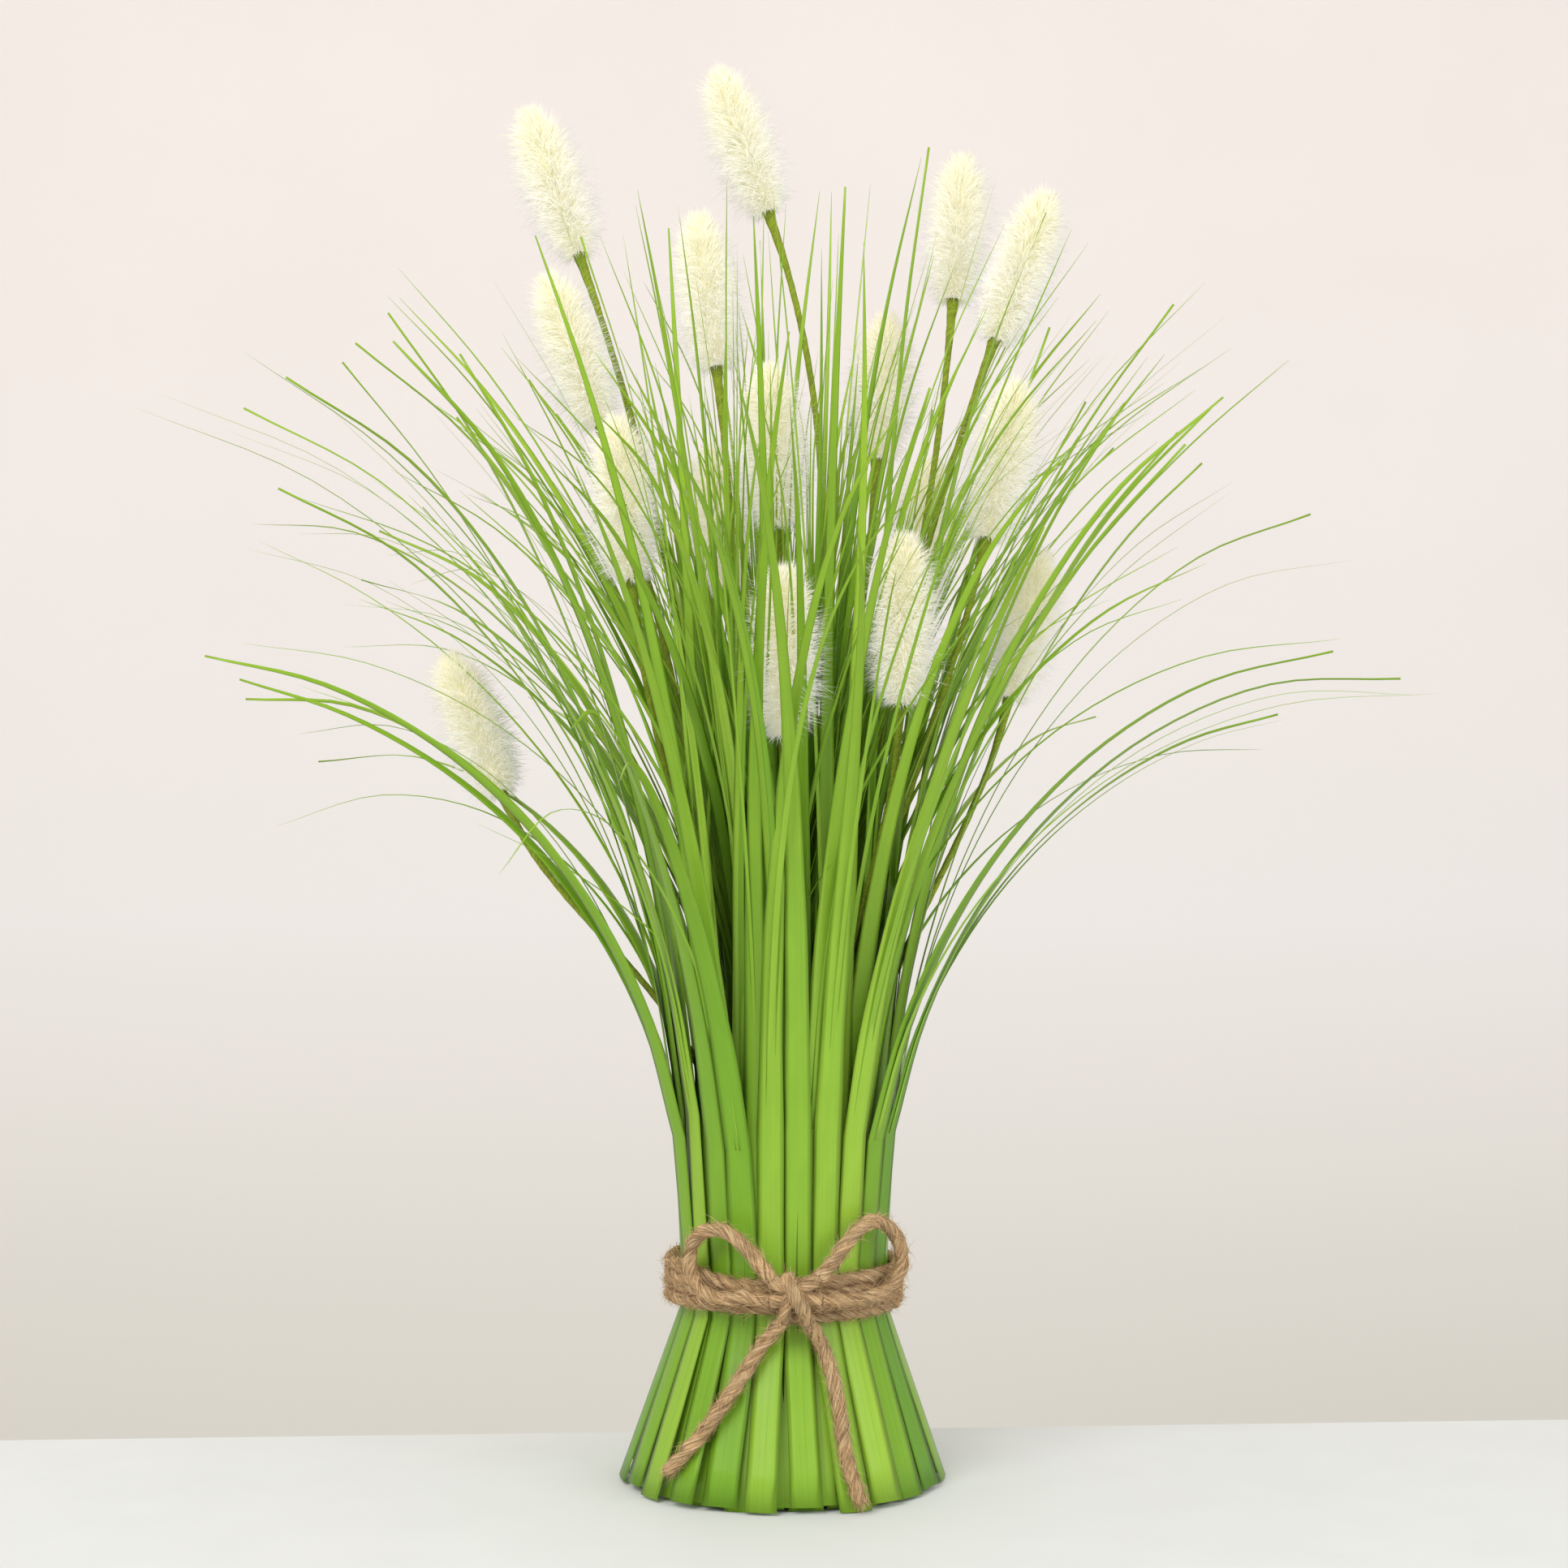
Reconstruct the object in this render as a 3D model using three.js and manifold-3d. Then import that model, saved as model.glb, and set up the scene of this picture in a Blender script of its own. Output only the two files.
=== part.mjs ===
// A free-standing bundle of artificial pampas grass, in millimetres, +Z up.
// The origin is the centre of the foot, on the surface that the bundle stands on, and -Y is the front.
// Strap-shaped plastic blades stand round a foam core, are tied at the waist with jute twine and flare to
// a foot of cut ends. Bushes of finer blades and sixteen wired plumes are pushed into the top of the core.
import * as THREE from "three";
import { mergeVertices } from "three/addons/utils/BufferGeometryUtils.js";
import Module from "manifold-3d";

const wasm = await Module();
wasm.setup();

// ---------------------------------------------------------------- driving dimensions

const WAIST_RADIUS = 38; // inner face of the outermost blades, at the tie
const FOOT_RADIUS = 59.5; // the same face, at the foot
const TIE_LOW = 64; // lower edge of the twine band
const TWINE = 5.4; // diameter of the jute twine
const WRAPS = 4;
const TWINE_GAP = 0.3; // between the twine and whatever it lies on

const TUFTS = 12; // outer tufts round the core, with two blades to each of their three layers
const BLADE_FILL = 0.915; // how much of the way round the tie a layer's blades take up
const BLADE_RIDGE = 0.6; // height of the low ridge along a blade's back
const BLADE_LENGTH = 385; // from the top of the tie to the tip
const TIP_WIDTH = 1.8;
const LAYER_PITCH = 0.95; // from one layer of blades to the next, at the tie
const FOOT_PITCH = 2.2; // and at the foot
const TIE_SPREAD = 0.3; // how far the blades stand out again at the edges of the twine
const FOOT_SPREAD = 2.5; // how much further out some of the blades end at the foot
const CUT_SPREAD = 2.6; // how much higher some of the blades are cut
const CLEARANCE = 0.25; // kept between a blade and everything that isn't its own tuft

const CORE_TOP = 112;
const CORE_GAP = 0.5; // between the core and the innermost layer of blades
const CORE_FOOT_INSET = 12.5; // how far inside the blades the core is at the foot
const CORE_TOP_INSET = 7; // and how much narrower than the waist its top is
const BUSHES = 7; // inner bushes in a ring, with one more in the middle
const BUSH_BLADES = 9;
const BUSH_LENGTH = 376; // longest inner blade, from its neck
const STUB_RISE = 5; // how far the stub of a bush stands out of the core
const ROOT_RISE = 2; // height above the core at which the blades spring from the stub
const NECK_RISE = 12; // and at which they have parted
const STUB_DEPTH = 16; // how far the moulded stub of a bush is pushed into the core
const SOCKET_CLEARANCE = 0.3; // round a stub or a stem in its socket

const STEM_RADIUS = 1.2;
const STEM_CAP_RADIUS = 1.9; // the wrapped end below a plume head
const STEM_CAP_LENGTH = 26;
const STEM_DEPTH = 24; // how far a stem is pushed into the core
const HEAD_RADIUS = 9.5;
const HEAD_LENGTH = 60;
const HEAD_GAP = 0.4; // between a stem's end and its head

// ---------------------------------------------------------------- what follows from them

const TIE_HIGH = TIE_LOW + WRAPS * TWINE;
const BLADE_WIDTH = (BLADE_FILL * Math.PI * WAIST_RADIUS) / TUFTS;
const BAND_INSIDE = WAIST_RADIUS + TIE_SPREAD + BLADE_RIDGE + 1.5 * CLEARANCE + TWINE_GAP;
const BAND_OUTSIDE = BAND_INSIDE + TWINE;
const FOOT_OUTSIDE = FOOT_RADIUS + FOOT_SPREAD + BLADE_RIDGE;

const CORE_FOOT_RADIUS = FOOT_RADIUS - CORE_FOOT_INSET;
const CORE_TOP_RADIUS = WAIST_RADIUS - CORE_TOP_INSET;
const STEM_RING = CORE_TOP_RADIUS - 5; // radius of the ring of stem sockets
const BUSH_RING = 0.62 * STEM_RING; // radius of the ring of bushes, inside the stems
const STUB_RADIUS = 0.27 * BUSH_RING; // so that the stubs stand clear of each other and of the stems
const BUSH_NECK = 0.46 * STUB_RADIUS; // width of an inner blade where it leaves its stub
const BUSH_WIDTH = 1.24 * STUB_RADIUS; // and at its widest

const KNOT_WIDTH = 2.8 * TWINE; // the knot of the bow, its height the same
const KNOT_DEPTH = 1.75 * TWINE;
const KNOT_SIDE = 4; // how far it sits to the right of the middle
const KNOT_RISE = 2.4; // and above the middle of the band

// Each plume: where its head begins, as azimuth in degrees (0 at the front, positive to the right),
// distance from the axis and height, then how far the head leans and towards which azimuth.
const PLUMES = [
  { azimuth: 0, reach: 62, height: 278, lean: 9, way: 0 },
  { azimuth: 40, reach: 65, height: 290, lean: 7, way: 10 },
  { azimuth: 90, reach: 76, height: 353, lean: 12, way: 88 },
  { azimuth: 101, reach: 82, height: 430, lean: 20, way: 95 },
  { azimuth: 117, reach: 99, height: 294, lean: 14, way: 115 },
  { azimuth: 132, reach: 90, height: 452, lean: 9, way: 150 },
  { azimuth: 135, reach: 72, height: 330, lean: 10, way: 140 },
  { azimuth: 152, reach: 79, height: 390, lean: 8, way: 150 },
  { azimuth: -172, reach: 45, height: 484, lean: 20, way: -100 },
  { azimuth: -157, reach: 58, height: 336, lean: 12, way: -150 },
  { azimuth: -128, reach: 33, height: 420, lean: 8, way: -120 },
  { azimuth: -114, reach: 122, height: 257, lean: 24, way: -115 },
  { azimuth: -104, reach: 81, height: 463, lean: 20, way: -100 },
  { azimuth: -98, reach: 71, height: 397, lean: 19, way: -92 },
  { azimuth: -70, reach: 60, height: 336, lean: 6, way: -60 },
  { azimuth: -10, reach: 14, height: 356, lean: 5, way: -40 },
];

// ---------------------------------------------------------------- small helpers

const UP = new THREE.Vector3(0, 0, 1);
const radians = THREE.MathUtils.degToRad;

// A point from azimuth in degrees, distance from the axis and height.
function polar(azimuth, radius, z) {
  const a = radians(azimuth);
  return new THREE.Vector3(radius * Math.sin(a), -radius * Math.cos(a), z);
}

// A repeatable stream of numbers from 0 to 1.
function stream(seed) {
  let state = seed;
  return () => {
    state = (state + 0x6d2b79f5) | 0;
    let t = Math.imul(state ^ (state >>> 15), 1 | state);
    t = (t + Math.imul(t ^ (t >>> 7), 61 | t)) ^ t;
    return ((t ^ (t >>> 14)) >>> 0) / 4294967296;
  };
}

const random = stream(20);
const between = (low, high) => low + (high - low) * random();
const mix = (a, b, t) => a + (b - a) * t;
const smooth = (t) => t * t * (3 - 2 * t);

// A closed surface through rings of points, each ring with as many points as the next.
function loft(rings) {
  const n = rings[0].length;
  const index = [];
  for (let k = 0; k + 1 < rings.length; k++)
    for (let i = 0; i < n; i++) {
      const a = k * n + i;
      const b = k * n + ((i + 1) % n);
      index.push(a, b, b + n, a, b + n, a + n);
    }
  const last = (rings.length - 1) * n;
  for (let i = 1; i + 1 < n; i++) {
    index.push(0, i + 1, i);
    index.push(last, last + i, last + i + 1);
  }
  return new THREE.BufferGeometry().setFromPoints(rings.flat()).setIndex(index);
}

function solidOf(geometry) {
  const bare = geometry.clone().deleteAttribute("normal").deleteAttribute("uv");
  const merged = mergeVertices(bare, 1e-4);
  return new wasm.Manifold(
    new wasm.Mesh({
      numProp: 3,
      vertProperties: merged.attributes.position.array,
      triVerts: new Uint32Array(merged.index.array),
    }),
  );
}

function geometryOf(solid) {
  const mesh = solid.getMesh();
  const geometry = new THREE.BufferGeometry()
    .setAttribute("position", new THREE.BufferAttribute(mesh.vertProperties, 3))
    .setIndex(new THREE.BufferAttribute(mesh.triVerts, 1));
  geometry.computeVertexNormals();
  return geometry;
}

// ---------------------------------------------------------------- materials

const plastic = (color, roughness) =>
  new THREE.MeshStandardMaterial({ color, roughness, metalness: 0 });
const strapGreen = plastic(0x7db33a, 0.42);
const bushGreen = plastic(0x5c9a33, 0.45);
const stemOlive = plastic(0x8b9c1e, 0.8);
const plumeCream = plastic(0xf4eecb, 0.95);
const jute = plastic(0xa98a5c, 0.95);
const foam = plastic(0x4f6b33, 0.9);

const bundle = new THREE.Group();
const obstacles = []; // every solid that a new blade has to stay clear of

function addNode(name, solid, material) {
  const mesh = new THREE.Mesh(geometryOf(solid), material);
  mesh.name = name;
  bundle.add(mesh);
}

function addObstacle(solid, owner, free = solid) {
  obstacles.push({ owner, solid, free, box: solid.boundingBox() });
}

const boxesMeet = (a, b) =>
  [0, 1, 2].every((k) => a.min[k] < b.max[k] && b.min[k] < a.max[k]);

// Blades of one owner spring from a common root, so among themselves only their free parts are kept apart.
function isClear(owner, solid, free) {
  const box = solid.boundingBox();
  return obstacles.every((other) => {
    if (!boxesMeet(box, other.box)) return true;
    const related = other.owner === owner;
    const common = related ? free.intersect(other.free) : solid.intersect(other.solid);
    const clear = common.isEmpty();
    common.delete();
    return clear;
  });
}

// ---------------------------------------------------------------- blades

// A blade's sections: a centre, the unit vector across it, its outward normal and its width.
// Each section is a low triangle, flat inside and ridged outside. `spare` is added all round, to test
// whether there is room.
function bladeSolid(sections, spare = 0) {
  const rings = sections.map(({ centre, across, normal, width }) => {
    const half = width / 2 + spare;
    const ridge = Math.min(BLADE_RIDGE, width / 3) + 1.5 * spare;
    const inside = centre.clone().addScaledVector(normal, -spare);
    return [
      inside.clone().addScaledVector(across, half),
      inside.clone().addScaledVector(across, -half),
      centre.clone().addScaledVector(normal, ridge),
    ];
  });
  return solidOf(loft(rings));
}

// The free part of a blade. It sets off straight up and leans over by `bend` degrees a millimetre, and its
// last part by `droop` degrees more. It leans towards `heading`, which drifts by `drift` degrees in all.
function grow(start, across, { heading, lean, bend, droop, drift, twist, length, width, steps }) {
  const sections = [];
  const centre = start.clone();
  const side = across.clone();
  const step = length / steps;
  for (let k = 1; k <= steps; k++) {
    const t = k / steps;
    const before = (k - 0.5) / steps;
    const settled = smooth(Math.min(1, 4 * before));
    const over = radians(lean * settled + bend * length * before + droop * before ** 4);
    const way = radians(heading + drift * before);
    const along = new THREE.Vector3(
      Math.sin(over) * Math.sin(way),
      -Math.sin(over) * Math.cos(way),
      Math.cos(over),
    );
    centre.addScaledVector(along, step);
    side.addScaledVector(along, -side.dot(along)).normalize();
    side.applyAxisAngle(along, radians(twist / steps));
    sections.push({
      centre: centre.clone(),
      across: side.clone(),
      normal: new THREE.Vector3().crossVectors(side, along).normalize(),
      width: width(t),
    });
  }
  return sections;
}

const sectionAt = (azimuth, radius, z, width) => ({
  centre: polar(azimuth, radius, z),
  across: polar(azimuth + 90, 1, 0),
  normal: polar(azimuth, 1, 0),
  width,
});

// Draws a blade again and again until it is clear of everything placed before it, and shorter and shorter
// when it keeps finding no room. Its free part begins with section `rooted`.
const MOST_TRIES = 500;

function place(owner, rooted, draw) {
  for (let attempt = 0; attempt < MOST_TRIES; attempt++) {
    const sections = draw(mix(1, 0.1, (attempt / MOST_TRIES) ** 4));
    const room = bladeSolid(sections, CLEARANCE);
    const freeRoom = bladeSolid(sections.slice(rooted), CLEARANCE);
    const blade = bladeSolid(sections);
    const free = bladeSolid(sections.slice(rooted));
    const clear = isClear(owner, room, freeRoom) && isClear(owner, blade, free);
    room.delete();
    freeRoom.delete();
    if (clear) {
      addObstacle(blade, owner, free);
      return blade;
    }
    blade.delete();
    free.delete();
  }
  throw new Error("no room for a blade of " + owner);
}

// How the three layers of strap blades behave, outermost first: bend in degrees a millimetre, droop and
// splay in degrees. The straightest blade of a layer has the first length and the most bent one the second,
// both as parts of BLADE_LENGTH.
const LAYERS = [
  { bend: [0.1, 0.27], droop: [0, 38], length: [1, 0.76], splay: 2.6 },
  { bend: [0.05, 0.17], droop: [0, 36], length: [1.02, 0.84], splay: 2 },
  { bend: [0, 0.1], droop: [0, 32], length: [1.06, 0.86], splay: 1.2 },
];
const TUFT_STEP = 360 / TUFTS;
// Two blades to a layer. Those of the middle layer stand over the joints between the others.
const LAYER_OFFSETS = [
  [-TUFT_STEP / 4, TUFT_STEP / 4],
  [0, TUFT_STEP / 2],
  [-TUFT_STEP / 4, TUFT_STEP / 4],
];
// The bead that joins a tuft's blades, as azimuths from the tuft's own and heights.
const WELD = { from: -0.2 * TUFT_STEP, to: 0.45 * TUFT_STEP, low: TIE_LOW + 4, high: TIE_LOW + 14 };
const WELD_DEPTH = 0.15; // how far it reaches in behind the innermost layer

// A strap keeps its width over the first eighth of its free length and then tapers to its tip.
const strapTaper = (t) => mix(BLADE_WIDTH, TIP_WIDTH, t < 0.125 ? 0 : ((t - 0.125) / 0.875) ** 0.85);

function drawStrap(azimuth, layer, scale) {
  const { bend, droop, length, splay } = LAYERS[layer];
  const tied = azimuth + between(-0.3, 0.3);
  const footed = azimuth + scale * between(-splay, splay);
  const foot = FOOT_RADIUS - layer * FOOT_PITCH + (layer ? 0 : between(0, FOOT_SPREAD));
  const waist = WAIST_RADIUS - layer * LAYER_PITCH;
  const footWidth = BLADE_WIDTH * mix(1, between(1.06, 1.38), scale);
  const low = sectionAt(tied, waist + TIE_SPREAD, TIE_LOW, BLADE_WIDTH);
  const middle = sectionAt(tied, waist, (TIE_LOW + TIE_HIGH) / 2, BLADE_WIDTH);
  const high = sectionAt(tied, waist + TIE_SPREAD, TIE_HIGH, BLADE_WIDTH);
  const end = sectionAt(footed, foot, between(0, CUT_SPREAD), footWidth);
  end.across = high.across.clone().lerp(end.across, 0.5).normalize();
  const bow = random();
  const free = grow(high.centre, high.across, {
    heading: tied + between(-9, 9),
    lean: between(0, 2),
    bend: mix(...bend, bow),
    droop: between(...droop),
    drift: between(-32, 32),
    twist: between(-40, 40),
    length: BLADE_LENGTH * scale * mix(...length, bow) * between(0.93, 1.03),
    width: strapTaper,
    steps: 7,
  });
  return [end, low, middle, high, ...free];
}

// The bead is hidden under the twine.
function weldSolid(azimuth) {
  const inner = WAIST_RADIUS - 2 * LAYER_PITCH - WELD_DEPTH;
  const outer = WAIST_RADIUS + BLADE_RIDGE / 2;
  const corners = 6;
  const rings = [];
  for (let k = 0; k <= corners; k++) {
    const a = azimuth + mix(WELD.from, WELD.to, k / corners);
    rings.push([
      polar(a, inner, WELD.low),
      polar(a, inner, WELD.high),
      polar(a, outer, WELD.high),
      polar(a, outer, WELD.low),
    ]);
  }
  return solidOf(loft(rings));
}

function addTufts() {
  const tufts = Array.from({ length: TUFTS }, (_, k) => ({
    name: "outer_tuft_" + String(k + 1).padStart(2, "0"),
    azimuth: k * TUFT_STEP,
    solid: weldSolid(k * TUFT_STEP),
  }));
  LAYER_OFFSETS.forEach((offsets, layer) => {
    for (const tuft of tufts)
      for (const offset of offsets) {
        const blade = place(tuft.name, 0, (scale) => drawStrap(tuft.azimuth + offset, layer, scale));
        tuft.solid = tuft.solid.add(blade);
      }
  });
  for (const { name, solid } of tufts) addNode(name, solid, strapGreen);
}

// An inner blade starts narrow on its stub, widens over its first third and then tapers to its tip.
function bushTaper(t, widest) {
  if (t < 0.3) return mix(BUSH_NECK, widest, smooth(t / 0.3));
  return mix(widest, 0.9 * TIP_WIDTH, (t - 0.3) / 0.7);
}

function addBush(name, azimuth, radius) {
  const foot = polar(azimuth, radius, CORE_TOP - STUB_DEPTH);
  const height = STUB_DEPTH + STUB_RISE;
  const stub = new THREE.CylinderGeometry(STUB_RADIUS, STUB_RADIUS, height, 10);
  stub.rotateX(Math.PI / 2).translate(foot.x, foot.y, foot.z + height / 2);
  let solid = solidOf(stub);
  for (let k = 0; k < BUSH_BLADES; k++) {
    const way = azimuth + (360 * k) / BUSH_BLADES;
    const root = polar(azimuth, radius, CORE_TOP + ROOT_RISE).add(polar(way, 0.68 * STUB_RADIUS, 0));
    const neck = polar(azimuth, radius, CORE_TOP + NECK_RISE).add(polar(way, STUB_RADIUS, 0));
    const across = polar(way + 90, 1, 0);
    const normal = polar(way, 1, 0);
    const outward = radius ? azimuth : way;
    const blade = place(name, 1, (scale) => {
      const free = grow(neck, across, {
        heading: mix(outward, way, random()) + between(-50, 50),
        lean: between(1, 13),
        bend: random() < 0.2 ? between(0.07, 0.19) : between(-0.01, 0.07),
        droop: between(0, 30),
        drift: between(-30, 30),
        twist: between(-90, 90),
        length: BUSH_LENGTH * scale * between(0.62, 1),
        width: (t) => bushTaper(t, BUSH_WIDTH * mix(0.4, 1, scale)),
        steps: 7,
      });
      return [
        { centre: root, across, normal, width: BUSH_NECK },
        { centre: neck, across, normal, width: BUSH_NECK },
        ...free,
      ];
    });
    solid = solid.add(blade);
  }
  addNode(name, solid, bushGreen);
}

function addBushes() {
  addBush("inner_bush_01", 0, 0);
  for (let k = 0; k < BUSHES; k++)
    addBush("inner_bush_0" + (k + 2), (360 * (k + 0.5)) / BUSHES, BUSH_RING);
}

// ---------------------------------------------------------------- plumes

// A stem leaves its socket straight up and bends over to the place where its head begins.
function stemPath({ azimuth, reach, height, lean, way }, slot) {
  const socket = polar((360 * slot) / PLUMES.length, STEM_RING, CORE_TOP);
  const head = polar(azimuth, reach, height);
  const free = head.distanceTo(socket);
  const along = polar(way, Math.sin(radians(lean)), Math.cos(radians(lean)));
  const rise = socket.clone().addScaledVector(UP, 0.4 * free);
  const approach = head.clone().addScaledVector(along, -0.35 * free);
  return new THREE.CubicBezierCurve3(socket, rise, approach, head);
}

function roundRing(centre, along, radius, sides) {
  const side = new THREE.Vector3(0, 1, 0).cross(along).normalize();
  const other = new THREE.Vector3().crossVectors(along, side);
  return Array.from({ length: sides }, (_, i) => {
    const a = (2 * Math.PI * i) / sides;
    const outward = side.clone().multiplyScalar(Math.cos(a)).addScaledVector(other, Math.sin(a));
    return centre.clone().addScaledVector(outward, radius);
  });
}

function stemSolid(path, spare = 0) {
  const sides = 5;
  const steps = 7;
  const capped = 1 - STEM_CAP_LENGTH / path.getLength();
  const foot = path.getPointAt(0).addScaledVector(UP, -STEM_DEPTH);
  const rings = [roundRing(foot, UP, STEM_RADIUS + spare, sides)];
  const places = Array.from({ length: steps + 1 }, (_, k) => (k / steps) * capped);
  for (const t of [...places, 1]) {
    const radius = t === 1 ? STEM_CAP_RADIUS : STEM_RADIUS;
    rings.push(roundRing(path.getPointAt(t), path.getTangentAt(t), radius + spare, sides));
  }
  return solidOf(loft(rings));
}

// A plume head is a round-ended spindle: height and fullness of each of its rings.
const HEAD_PROFILE = [[0, 0.34], [0.1, 0.78], [0.32, 1], [0.66, 1], [0.88, 0.84], [1, 0.4]];

function headSolid(path, spare = 0) {
  const along = path.getTangentAt(1);
  const start = path.getPointAt(1).addScaledVector(along, HEAD_GAP);
  const sides = 8;
  const rings = HEAD_PROFILE.map(([height, fullness]) => {
    const centre = start.clone().addScaledVector(along, height * HEAD_LENGTH);
    return roundRing(centre, along, HEAD_RADIUS * fullness + spare, sides);
  });
  return solidOf(loft(rings));
}

// A plume that meets another one is moved outwards step by step.
const NUDGE = 1.5;
const MOST_NUDGES = 40;

function freePath(plume, slot, label) {
  for (let k = 0; k < MOST_NUDGES; k++) {
    const path = stemPath({ ...plume, reach: plume.reach + k * NUDGE }, slot);
    const solids = [stemSolid(path, CLEARANCE), headSolid(path, CLEARANCE)];
    if (solids.every((solid) => isClear(label, solid, solid))) return path;
  }
  throw new Error("no room for plume " + label);
}

function addPlumes() {
  const aroundFromFront = ({ azimuth }) => (azimuth + 360) % 360;
  const inOrder = [...PLUMES].sort((a, b) => aroundFromFront(a) - aroundFromFront(b));
  return inOrder.map((plume, slot) => {
    const label = String(slot + 1).padStart(2, "0");
    const path = freePath(plume, slot, label);
    const stem = stemSolid(path);
    const head = headSolid(path);
    addObstacle(stem, label);
    addObstacle(head, label);
    addNode("plume_stem_" + label, stem, stemOlive);
    addNode("plume_head_" + label, head, plumeCream);
    return path;
  });
}

// ---------------------------------------------------------------- twine

// The turns of twine round the waist, drawn as one ring with a rounded edge for each turn.
const TURN_FULLNESS = 1.12; // more than 1, so that the turns leave only a narrow groove between them

function wrapsSolid() {
  const points = [new THREE.Vector2(BAND_INSIDE, TIE_LOW)];
  const corners = 3;
  for (let turn = 0; turn < WRAPS; turn++)
    for (let k = 0; k < corners; k++) {
      const a = mix(-60, 60, k / (corners - 1));
      const out = (TWINE / 2) * (1 + Math.cos(radians(a)));
      const up = (TWINE / 2) * TURN_FULLNESS * Math.sin(radians(a));
      points.push(new THREE.Vector2(BAND_INSIDE + out, TIE_LOW + (turn + 0.5) * TWINE + up));
    }
  points.push(new THREE.Vector2(BAND_INSIDE, TIE_HIGH));
  points.push(points[0].clone());
  return solidOf(new THREE.LatheGeometry(points, 44).rotateX(Math.PI / 2));
}

const KNOT = new THREE.Vector3(
  KNOT_SIDE,
  -(BAND_OUTSIDE + TWINE_GAP + KNOT_DEPTH / 2),
  (TIE_LOW + TIE_HIGH) / 2 + KNOT_RISE,
);
// The bow's route is laid out for this twine and this height of the knot, and is scaled to the real ones.
const LAID_TWINE = 5.4;
const LAID_KNOT_HEIGHT = 77.2;

// A point on a free strand: `side` to the right and `rise` above the middle of the knot, with its centre
// `out` outside the blades and the turns of twine behind it.
function strandPoint(side, rise, out) {
  const size = TWINE / LAID_TWINE;
  const z = KNOT.z + rise * (rise > 0 ? size : KNOT.z / LAID_KNOT_HEIGHT);
  const skirt = mix(FOOT_OUTSIDE, BAND_INSIDE, Math.min(1, z / TIE_LOW));
  const overBand = z > TIE_LOW - TWINE / 2 && z < TIE_HIGH + TWINE / 2;
  const behind = overBand ? Math.max(BAND_OUTSIDE, skirt) : skirt;
  const reach = behind + TWINE / 2 + out * size;
  const x = KNOT.x + side * size;
  return new THREE.Vector3(x, -Math.sqrt(reach * reach - x * x), z);
}

// The free strands of the bow, hand laid from the knot: side, rise and out for each point.
const STRANDS = {
  bow_loop_left: [
    [-8, 4.6, 2.6], [-13.2, 10.7, 1.6], [-19.7, 17.7, 6.7], [-26, 21.6, 6.5], [-36, 18, 6.4],
    [-38.4, 9.9, 1], [-36.5, 2.2, 1.1], [-27.6, -3, 2.3], [-17.5, -1.7, 1.5], [-9.2, -3, 4.1],
  ],
  bow_loop_right: [
    [8, 5, 2.8], [13.5, 10.1, 0.8], [19.1, 17.8, 7.1], [29, 23.6, 5.2], [36.7, 17.7, 6.7],
    [39.3, 9.6, 3.2], [35.4, -0.8, 2.8], [28.7, -3.4, 1.4], [19.6, -3.9, 1.1], [9.4, -2.8, 4.5],
  ],
  twine_tail_left: [
    [-4.5, -10, 2.4], [-11.5, -19, 1.2], [-18.5, -29.5, 1], [-25.5, -39.5, 0.8], [-34.5, -52, 0.8],
    [-42, -60.5, 0.9], [-46, -65, 1.2],
  ],
  twine_tail_right: [
    [4.8, -10.6, 2.4], [9.2, -19, 1.2], [12.5, -28, 1], [14.6, -35, 0.8], [16.4, -45, 0.8], [17.5, -54, 0.8],
    [19.8, -63, 0.8], [22, -69, 0.9], [23.5, -73.2, 1.2],
  ],
};

function strandSolid(points) {
  const route = points.map((point) => strandPoint(...point));
  const path = new THREE.CatmullRomCurve3(route, false, "centripetal");
  const sides = 8;
  const outline = new THREE.Shape(
    Array.from({ length: sides }, (_, k) => {
      const a = (2 * Math.PI * (k + 0.5)) / sides;
      return new THREE.Vector2((TWINE / 2) * Math.cos(a), (TWINE / 2) * Math.sin(a));
    }),
  );
  const steps = Math.round(path.getLength() / (2 * TWINE));
  return solidOf(new THREE.ExtrudeGeometry(outline, { extrudePath: path, steps, bevelEnabled: false }));
}

function addTwine() {
  const knot = new THREE.SphereGeometry(0.5, 10, 7);
  knot.rotateX(Math.PI / 2).scale(KNOT_WIDTH, KNOT_DEPTH, KNOT_WIDTH).translate(KNOT.x, KNOT.y, KNOT.z);
  const pieces = { twine_wraps: wrapsSolid(), twine_knot: solidOf(knot) };
  for (const [name, points] of Object.entries(STRANDS)) pieces[name] = strandSolid(points);
  for (const [name, solid] of Object.entries(pieces)) {
    addObstacle(solid, "twine");
    addNode(name, solid, jute);
  }
}

// ---------------------------------------------------------------- foam core

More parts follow.
